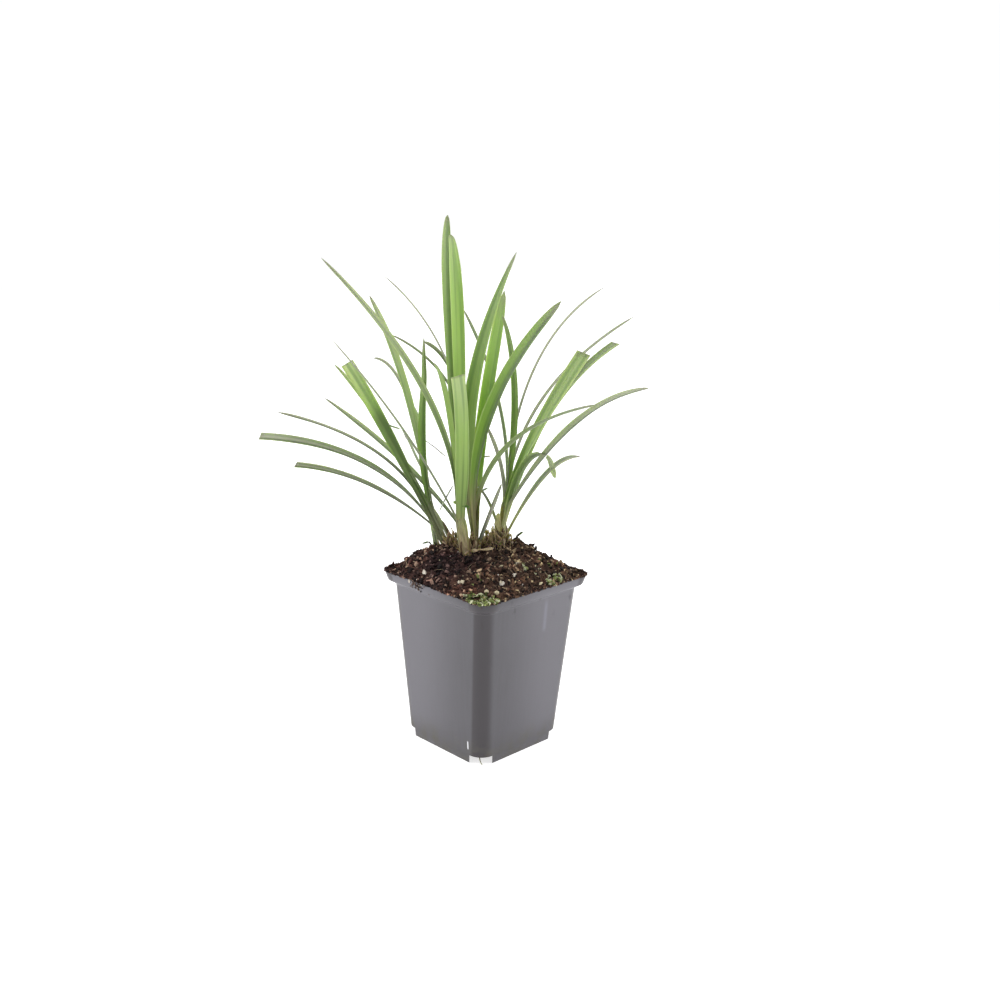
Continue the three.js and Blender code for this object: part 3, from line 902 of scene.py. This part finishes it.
# what the tree needs to know of one leaf, in metres
def leafSeed(row, shoot=None):
    root = (*row["root"], blade["rootHeight"])[:3]
    base = row["base"]
    if shoot:
        row = {**row, **{key: row[key] or shoot[key] for key in ("sheath", "sheathTop")}}
    if not base:
        base = [(root[i] - shoot["neck"][i]) * blade["gather"] + shoot["base"][i] for i in (0, 1)]
    crease = clumpPoint(*row["crease"])
    foot, tip = clumpPoint(*root), clumpPoint(*row["tip"]) - crease
    chord = tip - foot
    side = Vector((0, 0, 1)).cross(Vector((chord.x, chord.y, 0)).normalized())
    if row["side"]:
        side = clumpPoint(*row["side"]).normalized()
    above = chord.normalized().cross(side)
    pull = foot + chord * row["peak"] + above * 2 * row["bow"] * mm + side * 2 * row["sway"] * mm
    knee = foot - (pull - foot).normalized() * min(blade["kneeReach"] * mm, chord.length * 0.4)
    return {
        "base": clumpPoint(*(*base, blade["baseHeight"])[:3]), "knee": knee, "foot": foot, "pull": pull,
        "tip": tip, "side": side, "crease": crease,
        "tone": Vector(row["tone"]), "swell": Vector(row["swell"]),
        "width": row["width"] * mm, "rollFoot": math.radians(row["roll"][0]),
        "rollTip": math.radians(row["roll"][1]), "cut": row["cut"] is not None, "slant": row["cut"] or 0,
        "fold": row["fold"], "taper": row["taper"], "creaseAt": row["creaseAt"], "shade": row["shade"],
        "sheath": Vector(paint(row["sheath"])[:3]), "sheathTop": row["sheathTop"] * mm,
    }


def bezier(a, b, c, t):
    return a * (1 - t) ** 2 + b * (t * (1 - t) * 2) + c * t ** 2


def heading(a, b, c, t):
    return (b - a) * (1 - t) + (c - b) * t


def buildLeaves():
    kit = Grower("strapLeaves", {
        "Sides": "Int", "Steps": "Int", "Thickness": "Float", "Gutter": "Float", "Full Width": "Float",
        "Base Share": "Float", "Base Flare": "Float", "Base Thickness": "Float", "Ripple": "Float",
    })
    tubeSockets = {
        "Vertices": kit.input("Sides"), "Side Segments": kit.input("Steps"), "Radius": 1.0, "Depth": 1.0,
    }
    tube = kit.add("GeometryNodeMeshCylinder", {"fill_type": "TRIANGLE_FAN"}, tubeSockets, "Mesh")
    straps = kit.repeat(tube)

    # every point of the tube knows how far up the leaf it lies and where in its section
    x, y, z = kit.parts(kit.add("GeometryNodeInputPosition"))
    up = z + 0.5
    split = kit.input("Base Share")
    inBase = up.calc("LESS_THAN", split)
    s = (up / split).calc("MINIMUM", 1.0)
    t = ((up - split) / (1 - split)).calc("MAXIMUM", 0.0)
    base, knee, foot, pull, tip, side, crease = (
        kit.held(name, "FLOAT_VECTOR") for name in ("base", "knee", "foot", "pull", "tip", "side", "crease"))
    numbers = ("width", "rollFoot", "rollTip", "cut", "slant", "fold", "taper", "creaseAt")
    width, rollFoot, rollTip, cut, slant, foldShare, taperFrom, creaseAt = map(kit.held, numbers)
    swellFrom, swellTo, waist = kit.parts(kit.held("swell", "FLOAT_VECTOR"))

    # the spine: a base curve, then the blade's own curve with a soft crease in it
    past = t - creaseAt
    soft = (past * past + 0.0012).calc("SQRT")
    bend = (past + soft) * 0.5 / (1 - creaseAt)
    lean = (past / soft + 1) * 0.25 / (1 - creaseAt)
    spine = kit.lerp(inBase, bezier(foot, pull, tip, t), bezier(base, knee, foot, s)) + crease * bend
    along = kit.lerp(inBase, heading(foot, pull, tip, t) + crease * lean, heading(base, knee, foot, s))
    along = along.calc("NORMALIZE")
    across = (side - along * side.calc("DOT_PRODUCT", along)).calc("NORMALIZE")
    sway = (kit.cloud(kit.join(t * 3, width * 9000, rollFoot * 7), 1.0, 1) - 0.5) * kit.input("Ripple")
    angle = rollFoot + (rollTip - rollFoot) * t + sway * t
    turned = {"Vector": across, "Axis": along, "Angle": angle}
    across = kit.add("ShaderNodeVectorRotate", {"rotation_type": "AXIS_ANGLE"}, turned)
    face = along.calc("CROSS_PRODUCT", across)

    # half width: narrow at the foot, full by the middle, and a pointed or a clipped tip
    grown = kit.step(t, swellFrom, swellTo, waist)
    fade = ((t - taperFrom) / (1 - taperFrom)).calc("MAXIMUM", 0.0)
    taper = (1 - fade ** 1.6).calc("MAXIMUM", 0.0).calc("SQRT") * grown + fade * 0.05
    share = kit.lerp(cut, taper, grown)
    share = kit.lerp(inBase, share, kit.lerp(s, kit.input("Base Flare"), waist))
    reach = width * 0.5 * share
    thin = kit.input("Thickness") * (1 - t * 0.45)
    thick = kit.lerp(inBase, thin, kit.lerp(s, kit.input("Base Thickness"), kit.input("Thickness"))) * 0.5
    fold = (t * math.pi).calc("SINE") * 0.9 + 0.1
    fold = fold * kit.input("Gutter") * (width / kit.input("Full Width")).calc("MINIMUM", 1.3) * foldShare
    fold = kit.lerp(inBase, fold, kit.input("Gutter") * (0.8 - s * 0.7))

    flat = y.calc("SIGN") * y.calc("ABSOLUTE") ** 0.6
    vee = 1.0 - (x * x + 0.03).calc("SQRT")
    keel = (1 - x.calc("ABSOLUTE") * 5).calc("MAXIMUM", 0.0) * y.calc("LESS_THAN", -0.2) * 0.5
    lift = (flat * (1 - x * x * 0.4) - keel) * thick - vee * fold
    slip = x * width * slant * t ** 24
    spot = spine + across * (x * reach) + face * lift + along * slip

    straps = kit.keep(straps, "along", t - inBase * (1 - s))
    straps = kit.keep(straps, "across", x)
    straps = kit.add("GeometryNodeSetPosition", {}, {"Geometry": straps, "Position": spot})
    straps = kit.add("GeometryNodeSetShadeSmooth", {}, {"Geometry": straps})
    return kit.finish(straps)


leafTree = buildLeaves()


def makeLeafSurface():
    kit = Surface("lilyTurfLeaf")
    along, across, clipped, creaseAt = (kit.held(name) for name in ("along", "across", "cut", "creaseAt"))
    bright, pale, lit = kit.parts(kit.held("tone", "Vector"))
    sheath, sheathTop = kit.held("sheath", "Color"), kit.held("sheathTop")
    place = kit.place()
    mark = bright * 41 + pale * 23 + creaseAt * 67
    band = kit.cloud(kit.join(across * 1.6 + mark, along * 0.9, mark), 1.0, 1)
    streak = kit.cloud(kit.join(across * 7, along * 2.2, mark), 2.2, 3, 0.6)
    patch = kit.cloud(place, 55, 2)
    vein = (across * 34).calc("SINE") * 0.5 + 0.5

    green = kit.blend(bright, paint("425f14"), paint("86ae34"))
    green = kit.blend(patch * 0.3, green, paint("7a9c22"))
    grey = (pale + kit.step(along, 0.45, 1.0) * 0.25).calc("MINIMUM", 1.0)
    green = kit.blend(grey, green, paint("9f9d92"))
    green = kit.dim(kit.step(band, 0.44, 0.6) * 0.7, green, (1.45, 1.38, 1.35, 1))
    green = kit.dim(kit.step(band, 0.5, 0.36) * 0.45, green, (0.62, 0.68, 0.6, 1))
    green = kit.dim(streak * 0.6, green, (0.6, 0.64, 0.6, 1))
    green = kit.dim(vein * 0.25, green, (0.68, 0.75, 0.6, 1))
    pastCrease = kit.step(along - creaseAt + streak * 0.06, -0.05, 0.09)
    green = kit.dim(pastCrease * lit, green, (2.1, 2.05, 1.95, 1))
    green = kit.dim(kit.step(across * kit.held("shade"), 0.0, 0.3), green, (0.5, 0.52, 0.48, 1))
    margin = kit.step(across.calc("ABSOLUTE"), 0.78, 0.98)
    green = kit.blend(margin * 0.25, green, paint("a8b880"))
    # painted shade: the blade grows darker towards its foot, low in the clump
    green = kit.dim(kit.step(along, 0.35, 0.0) * 0.3, green, (0.6, 0.6, 0.62, 1))

    # down in the sheath green gives way to the shoot's own straw, olive or brown
    rise = kit.parts(place)[2] - sheathTop
    straw = kit.dim(kit.step(streak, 0.38, 0.62) * 0.75, sheath, (0.4, 0.36, 0.32, 1))
    straw = kit.dim(kit.step(band, 0.44, 0.6) * 0.5, straw, (1.5, 1.4, 1.3, 1))
    colour = kit.blend(kit.step(rise + (streak - 0.5) * 0.04, 0.016, -0.014), green, straw)
    ends = kit.lerp(clipped, kit.step(along, 0.88, 1.0) * 0.55, kit.step(along, 0.975, 0.998) * 0.4)
    colour = kit.blend(ends, colour, paint("80796c"))
    height = vein * 0.6 + streak
    kit.set(baseColor=colour, roughness=0.46 + streak * 0.14, normal=kit.bump(height, 0.00012, 0.5))
    kit.set(subsurfaceWeight=0.3, subsurfaceRadius=(0.7, 1.0, 0.3), subsurfaceScale=0.0015)
    return kit.set(specularIORLevel=0.27)


leafSurface = makeLeafSurface()

shoots = {
    "leaves_left": {
        "node": "shoot_left", "base": (-18.7, 16.7), "neck": (-34.5, 20),
        "sheath": "9aa07c", "sheathTop": 131,
        "leaves": [
            leaf((-35, 21, 139.5), (-70, 28, 256.5), 5.6, 5.5, peak=0.6, roll=(-36, -34), tone=(1, 0.56, 0)),
            leaf((-35, 20, 139), (-37.2, 6, 236), 0, 5.2, peak=0.4, sway=-3.9, roll=(-5, -50),
                 tone=(0.35, 0.1, 0), taper=0.5, crease=(-3, 0, 0), shade=0.5),
            leaf((-36.8, 19, 135.6), (-81.3, 14, 219.5), 1.2, 8.4, peak=0.72, roll=(-42, -58), cut=0.04,
                 swell=(0, 0.4, 0.6), tone=(0.1, 0.2, 0.9), creaseAt=0.56),
            leaf((-34.8, 19.5, 137), (-89.3, 20, 217.6), 3.1, 3.4, peak=0.7, roll=(-40, -40),
                 tone=(0.2, 0.35, 0.6), creaseAt=0.6),
            leaf((-18.7, 18, 127.8), (-97.2, 34, 195.6), 4.3, 4.8, peak=0.45, roll=(-26, -18),
                 tone=(0.35, 0.6, 0), swell=(0, 0.5, 0.55), base=(-10, 3), sheathTop=112, shade=0.5),
            leaf((-32.5, 19.7, 125.5), (-129, 0, 179), 14, 6.2, peak=0.46, roll=(-20, -32), cut=0.12,
                 tone=(0.3, 0.75, 0), base=(-28, 20), sheath="a9b68f", sheathTop=118, shade=0.5),
            leaf((-33.3, 20, 124.4), (-110, 4, 162), 7, 4.5, peak=0.57, roll=(-24, -32), cut=0.2,
                 tone=(0.1, 0.95, 0), base=(-28.6, 19), sheath="a9b68f", sheathTop=118, shade=0.5),
            leaf((-33, 21, 138), (-70, 48, 218), 13, 2, peak=0.87, roll=(-30, -30),
                 tone=(0.3, 1, 0), taper=0.92),
            leaf((-34, 22, 137), (-49, 74, 186), 10, 3.6, peak=0.7, roll=(50, 40), tone=(0.45, 0.2, 0)),
        ],
    },
    "leaves_middle": {
        "node": "shoot_middle", "base": (-10.8, -0.4), "neck": (-15, 1.5),
        "sheath": "c4b48c", "sheathTop": 128,
        "leaves": [
            leaf((-33, 20, 127), (-119, 2, 192.5), 14, 3.2, peak=0.41, roll=(-35, -20), tone=(0, 0.8, 0),
                 swell=(0, 0.2, 0.8), base=(-28.4, 20.5), taper=0.9, sheath="a9b68f", sheathTop=118, shade=1),
            leaf((-16.5, 1.5, 131.5), (-84, -20, 236), 4, 3, roll=(-35, -20), tone=(0, 0.75, 0),
                 swell=(0, 0.3, 0.8), taper=0.85),
            leaf((-17, 1.5, 134.5), (-95, 14, 277.7), 17.5, 5, peak=0.36, roll=(-36, -26), tone=(1, 0.64, 0)),
            leaf((-16, 2, 134), (-31, -8, 224), 5, 5, peak=0.88, sway=-0.4, roll=(12, 8), tone=(0.6, 0.2, 0)),
            leaf((-15.2, 1, 134), (-16, -46, 223), 10, 7.8, sway=1.1, roll=(0, 28), cut=-0.12,
                 swell=(0.02, 0.3, 0.7), tone=(0.7, 0.26, 0)),
            leaf((-15.5, 2.5, 134), (-25.6, 22, 302.3), 4.5, 8.5, peak=0.79, sway=4.5, roll=(8, 18),
                 swell=(0.3, 0.85, 0.55), taper=0.5, tone=(0.45, 0.25, 0), shade=-0.25),
            leaf((-14.5, 2, 134), (-22, -14, 293), 7, 9, peak=0.9, sway=-1.4, roll=(-6, -12),
                 tone=(0.8, 0.2, 0), taper=0.54),
        ],
    },
    "leaves_centre": {
        "node": "shoot_centre", "base": (-7.8, 14), "neck": (-6.5, 15),
        "sheath": "77734e", "sheathTop": 146,
        "leaves": [
            leaf((-8, 16), (-64, 56, 265.3), 20, 2, peak=0.6, sway=-5.5, roll=(10, 0), tone=(0.2, 1, 0),
                 taper=0.9),
            leaf((-8, 15), (-40, 44, 229), 14, 2.4, peak=0.83, sway=-5, roll=(-30, -38), tone=(0, 0.35, 0),
                 taper=0.93, shade=0.6),
            leaf((-8, 15.5), (-60, 56, 231), 20, 1.7, peak=0.62, sway=-10.5, roll=(-25, -32),
                 tone=(0, 0.5, 0), taper=0.93, shade=0.6),
            leaf((-7, 16), (13.3, 48, 281.5), 11.2, 11, peak=0.48, sway=9.4, roll=(4, -24),
                 tone=(0.25, 0.08, 0), fold=1.3, swell=(0, 0.36, 0.38), taper=0.5),
            leaf((-7.5, 16), (6.8, 70, 257.5), 14, 9.4, peak=0.25, sway=-0.5, roll=(-26, -18),
                 tone=(0.6, 0, 0), swell=(0, 0.28, 0.45), taper=0.8),
            leaf((-6, 14), (37, -22, 260.3), 14, 12.5, peak=0.48, sway=-10, roll=(10, -6), tone=(0.15, 0, 0),
                 swell=(0, 0.52, 0.34), fold=1.8, taper=0.7, shade=1),
            leaf((-7.8, 14.5), (57.5, -36, 208), 22.3, 4, peak=0.4, sway=-1, roll=(-18, -26),
                 tone=(0.1, 0.3, 0), taper=0.9),
            leaf((-3.4, 16), (8, 14, 151.2), 0, 2.4, side=(1, 0, 0), tone=(0, 1, 0), base=(-4.8, 16),
                 swell=(0, 0.2, 0.9), sheath="8f938a", sheathTop=112),
            leaf((-7, 17), (-20, 84, 190), 18, 5, tone=(0.45, 0.1, 0)),
            leaf((-6, 17), (-9, 78, 172), 16, 4.5, roll=(0, 20), tone=(0.3, 0.1, 0)),
        ],
    },
    "leaves_right": {
        "node": "shoot_right", "base": (6, 21), "neck": (8.5, 24),
        "sheath": "bcbf88", "sheathTop": 131,
        "leaves": [
            leaf((7.5, 25), (6, 30, 247.3), 6, 5, peak=0.67, sway=-6.5, roll=(-48, -62), tone=(0.3, 0.12, 0)),
            leaf((8, 23), (-18.2, 80, 245.1), 3, 2.3, peak=0.45, sway=-12.5, tone=(0.1, 0.5, 0), taper=0.9,
                 shade=0.4),
            leaf((8, 22.5), (-1.6, 8, 187), 8, 2.4, peak=0.43, sway=1.5, roll=(30, 20), tone=(0, 0.9, 0),
                 taper=0.85),
            leaf((7.5, 23.5), (-4.8, 14, 148.5), 2, 2.2, peak=0.6, roll=(30, 20),
                 tone=(0, 0.7, 0), taper=0.85),
            leaf((11, 24.5), (64, 40, 263), 21.5, 2.6, peak=0.65, roll=(18, 6), tone=(0.1, 1, 0), taper=0.9),
            leaf((11.5, 25), (83, 44, 246.5), 23.3, 2.8, peak=0.45, sway=1, roll=(24, 16), tone=(0, 1, 0),
                 taper=0.9),
            leaf((9, 24), (51.4, -6, 231.2), 8.5, 8.8, peak=0.2, roll=(-6, -40), cut=0, swell=(0.3, 0.9, 0.4),
                 tone=(0.7, 0.25, 0)),
            leaf((7, 24), (71.9, 30, 232.6), 12.2, 5.4, peak=0.63, roll=(38, 34), cut=-0.3,
                 tone=(0.4, 0.45, 0), shade=0.4),
            leaf((11, 22.5, 133), (83, -47, 219.3), 12.8, 5.4, peak=0.64, roll=(-12, -26),
                 tone=(0.05, 0.45, 0), base=(6, 20), taper=0.8, shade=1),
            leaf((13.5, 24.2, 121.5), (55.8, 54, 159.6), 9.3, 4.5, peak=0.76, roll=(6, 14), tone=(0, 0.75, 0),
                 taper=0.8),
            leaf((9, 23), (30.6, 0, 172.8), 9.2, 6, peak=0.79, sway=1, roll=(0, -26), cut=0.2,
                 tone=(0.1, 0.15, 0)),
            leaf((9, 26), (42, 84, 190), 8, 4.5, peak=0.5, roll=(40, 20), tone=(0.45, 0.1, 0)),
        ],
    },
}
leafKeeps = ("along", "across", "tone", "cut", "creaseAt", "shade", "sheath", "sheathTop")
leafSizes = {
    "Sides": 24, "Steps": 56, "Thickness": 0.5 * mm, "Gutter": 0.75 * mm, "Full Width": 6 * mm,
    "Base Share": 0.16, "Base Flare": 0.55, "Base Thickness": 1.3 * mm, "Ripple": 0.5,
}


def growLeaves(name, seeds, sizes, *nodes):
    piece = leafTree.grow(name, seedMesh(name, seeds), leafSurface, sizes, leafKeeps)
    fit(piece, "leaf", *nodes)


for name, shoot in shoots.items():
    growLeaves(name, [leafSeed(row, shoot) for row in shoot["leaves"]], leafSizes, shoot["node"])

# sheaths: the straps that clasp each shoot's foot, [root, tip, bow, width, base, colour]
everywhere = 400
facing = {"side": (1, 0, 0), "swell": (0, 0.1, 1), "taper": 0.45, "sheathTop": everywhere}
strawy = {**facing, "sheathTop": 128, "tone": (0.8, 0.15, 0)}
strawSheaths = [
    ((-12.9, 0.2, 117), (-15.4, 0.6, 133), 0, 4.2, (-10.6, -1.4), "cdbf90"),
    ((-14.2, 0.4, 116), (-16.6, 0.8, 130), 0, 2.6, (-12.2, -1), "d9cfaa"),
    ((-11.6, 0.4, 117), (-13.2, 0.8, 134), 0, 3.6, (-8.6, -1.2), "b0a070"),
]
plainSheaths = [
    ((-9.8, 0.6, 114), (-11, 1, 123), 0, 2.8, (-7.4, -0.8), "8c7358"),
    ((-13.6, -0.4, 113), (-14.4, -0.2, 120), 0, 2.2, (-12.4, -1.8), "7c6448"),
    ((-7.3, 13.2, 118), (-7.1, 14, 150), 0, 3.6, (-7.6, 12.2), "74714a"),
    ((-6.2, 13.8, 118), (-5.6, 14.4, 146), 0, 3, (-6.2, 13), "85805a"),
    ((-8.6, 13.4, 116), (-8.6, 13.8, 134), 0, 2, (-9.2, 12.4), "66603e"),
    ((-8, 12.6, 112), (-8.4, 12.8, 122), 0, 3.6, (-8, 11.6), "5f4f38"),
    ((6.2, 20.6, 120), (6.5, 21.6, 131.5), 0, 3.8, (5, 18.5), "d8d29a"),
    ((9.4, 22, 122), (10.8, 23, 146), 0, 3.8, (7, 19.5), "e0e2b4"),
    ((8.2, 21.6, 120), (8.8, 22.4, 138), 0, 2.4, (6, 19), "a6a659"),
    ((-31.4, 20, 118), (-33.2, 20, 128), 0, 2.6, (-29, 19.6), "b3bd9a"),
    ((-24.4, 18, 121), (-32, 19, 134.5), 0, 2, (-19, 16), "a3a986"),
    ((-21, 17, 117), (-26.5, 18, 127), 0, 1.7, (-16.8, 15.4), "76694c"),
]
sheathSizes = {
    **leafSizes, "Steps": 30, "Base Share": 0.5, "Base Flare": 1.15, "Gutter": -0.8 * mm,
    "Base Thickness": 1.0 * mm, "Ripple": 0.2,
}


def strapSeeds(rows, usual):
    return [leafSeed(leaf(*row[:4], base=row[4], sheath=row[5], **usual)) for row in rows]


growLeaves("leaf_sheaths", strapSeeds(strawSheaths, strawy) + strapSeeds(plainSheaths, facing), sheathSizes)

# scraps: stubs, twigs, a torn flap and straw, each laid one by one, in rows like the sheaths'
scraps = [
    ((37.6, 41, 157.6), (40.4, 41, 148.6), 0, 3.4, (34.6, 41, 162.2), "b4c09c"),
    ((-23.1, -0.5, 146.6), (-19.5, -0.5, 153.2), 0.4, 1, (-27.1, -0.5, 138), "b4bab0"),
    ((-1.1, 19, 166.1), (1.4, 19, 166.5), 0, 1, (-3.8, 19, 165.8), "cfcac4"),
    ((-2.4, 14, 147.2), (0.2, 14, 148.6), 0, 1.2, (-5.7, 14, 148.9), "9aa39a"),
    ((-16.8, 0, 142.6), (-19.5, 0, 143.4), 0, 2, (-14.4, 0, 140.8), "8aa352"),
    ((-16, 0, 143.6), (-17.3, 0, 146.1), 0, 1.8, (-14.6, 0, 140.6), "6f9440"),
    ((-13, 0, 142.8), (-12, 0, 145), 0, 1.8, (-14.2, 0, 140.8), "5f8438"),
    ((-12, 0, 140.9), (-9.8, 0, 140.3), 0, 1.6, (-14, 0, 141), "4f6f30"),
    ((18.6, 25, 117), (21.8, 25, 119.4), 0.6, 1.4, (16.4, 25, 111), "5b5a50"),
    ((-35, 20, 113), (-38.5, 20, 111.9), 0.6, 1.2, (-31, 20, 107.6), "5f6058"),
    ((-26.6, 20, 114.6), (-29.4, 20, 119.6), 0, 2, (-25, 19.4, 108), "565b3a"),
    ((-29.6, 20, 115), (-31, 20, 121), 0, 1.6, (-28.4, 19.6, 108), "a4ad86"),
    ((-4.5, 2.6, 114.2), (4.6, 5.5, 114.8), 1.2, 2.8, (-12, 1.5, 109.5), "cbb896"),
    ((-55.7, 19, 182.4), (-51.4, 19, 181.2), 0, 1, (-60.5, 19, 185.3), "8b9a72"),
    ((-43.6, 15, 169.7), (-37.8, 19.5, 156), 0.4, 1.6, (-48.1, 12, 179.7), "a8b298"),
    ((-48, 12, 179.6), (-46.7, 13, 176.2), 0, 1.6, (-49.4, 11.8, 182.2), "b9bbb2"),
    ((-30, 17.5, 170.1), (-24.8, 20, 165), 0, 0.9, (-37.2, 13.8, 176.3), "c3c2c8"),
]
scrapSizes = {
    **sheathSizes, "Sides": 12, "Steps": 16, "Thickness": 0.35 * mm, "Base Thickness": 0.4 * mm,
    "Gutter": 0.2 * mm, "Base Flare": 0.7,
}
growLeaves("leaf_scraps", strapSeeds(scraps, facing), scrapSizes)

# husks: old dry leaf bases that ring each shoot's foot, [right, away, reach, count]
husks = {
    "rings": [
        (6, 19.5, 11, 170), (-8, 12.5, 5.5, 44), (-11, -0.5, 3.5, 14), (-20, 16, 6.5, 56), (-29, 19, 3.5, 8),
    ],
    "height": (3, 16), "width": (0.5, 2.0), "lean": (-0.8, 0.15), "roll": 60, "stray": 2.4, "depth": 3,
    "seed": 52,
    "straws": ("ab9170", "d2bc94", "7a6550", "dfcfa8", "967f68", "bca57c", "5e4d3c"),
}
huskSizes = {**scrapSizes, "Sides": 6, "Steps": 8}


def huskRows():
    dice = random.Random(husks["seed"])
    rows = []
    for right, away, reach, count in husks["rings"]:
        for _ in range(count):
            angle, out = dice.uniform(0, 2 * math.pi), reach * dice.uniform(0.25, 1)
            u, v = right + math.cos(angle) * out, away + math.sin(angle) * out * 0.8
            ground = soilTop((u - v) / math.sqrt(2), (u + v) / math.sqrt(2))
            height = dice.uniform(*husks["height"]) * (1.1 - 0.65 * out / reach) * min(1, reach / 7)
            lean = dice.uniform(*husks["lean"])
            stray = [dice.gauss(0, husks["stray"]) for _ in range(2)]
            tip = (u + (u - right) * lean + stray[0], v + (v - away) * lean + stray[1], ground + height)
            root = (u + (u - right) * lean * 0.3, v + (v - away) * lean * 0.3, ground + height * 0.35)
            rows.append(leaf(root, tip, dice.uniform(-1, 1.5), dice.uniform(*husks["width"]), side=(1, 0, 0),
                             base=(u, v, ground - husks["depth"]), sheathTop=everywhere,
                             roll=(dice.uniform(-husks["roll"], husks["roll"]),) * 2,
                             sheath=dice.choice(husks["straws"]), creaseAt=dice.random()))
    return rows


growLeaves("old_husks", [leafSeed(row) for row in huskRows()], huskSizes)
print("leaves ready")


# loose root at the front drain hole: [sideways, out, height] along the pot's front diagonal
looseRoot = {
    "path": [(-0.8, 35, 7.5), (-0.8, 38, 4.2), (-0.3, 41.5, 2.4), (1, 43.6, 0.8)],
    "radius": 0.45,
    "sides": 8,
    "stepsPerSpan": 4,
}


def makeRoot():
    def turned(sideways, out, z):
        return Vector(((out + sideways) / math.sqrt(2), (sideways - out) / math.sqrt(2), z))
    knots = [turned(*row) for row in looseRoot["path"]]
    knots = [knots[0] * 2 - knots[1], *knots, knots[-1] * 2 - knots[-2]]
    path = []
    for i in range(1, len(knots) - 2):
        a, b, c, d = knots[i - 1:i + 3]
        last = i == len(knots) - 3
        for step in range(looseRoot["stepsPerSpan"] + last):
            t = step / looseRoot["stepsPerSpan"]
            path.append((b * 2 + (c - a) * t + (a * 2 - b * 5 + c * 4 - d) * t * t
                         + (b * 3 - a - c * 3 + d) * t ** 3) / 2)
    rings = []
    for i, point in enumerate(path):
        way = (path[min(i + 1, len(path) - 1)] - path[max(i - 1, 0)]).normalized()
        first = way.cross(Vector((0.7, 0.7, 0))).normalized()
        second = way.cross(first)
        radius = looseRoot["radius"] * (1 - 0.5 * i / len(path))
        angles = [k / looseRoot["sides"] * 2 * math.pi for k in range(looseRoot["sides"])]
        rings.append([point + (first * math.cos(a) + second * math.sin(a)) * radius for a in angles])
    kit = Surface("looseRoot")
    colour = kit.blend(kit.cloud(kit.place(), 900, 2), paint("6f7250"), paint("a9a684"))
    piece = newPiece("loose_root", loftMesh("loose_root", rings), kit.set(baseColor=colour, roughness=0.8))
    piece.data.shade_smooth()
    fit(piece, "potting_soil")


makeRoot()
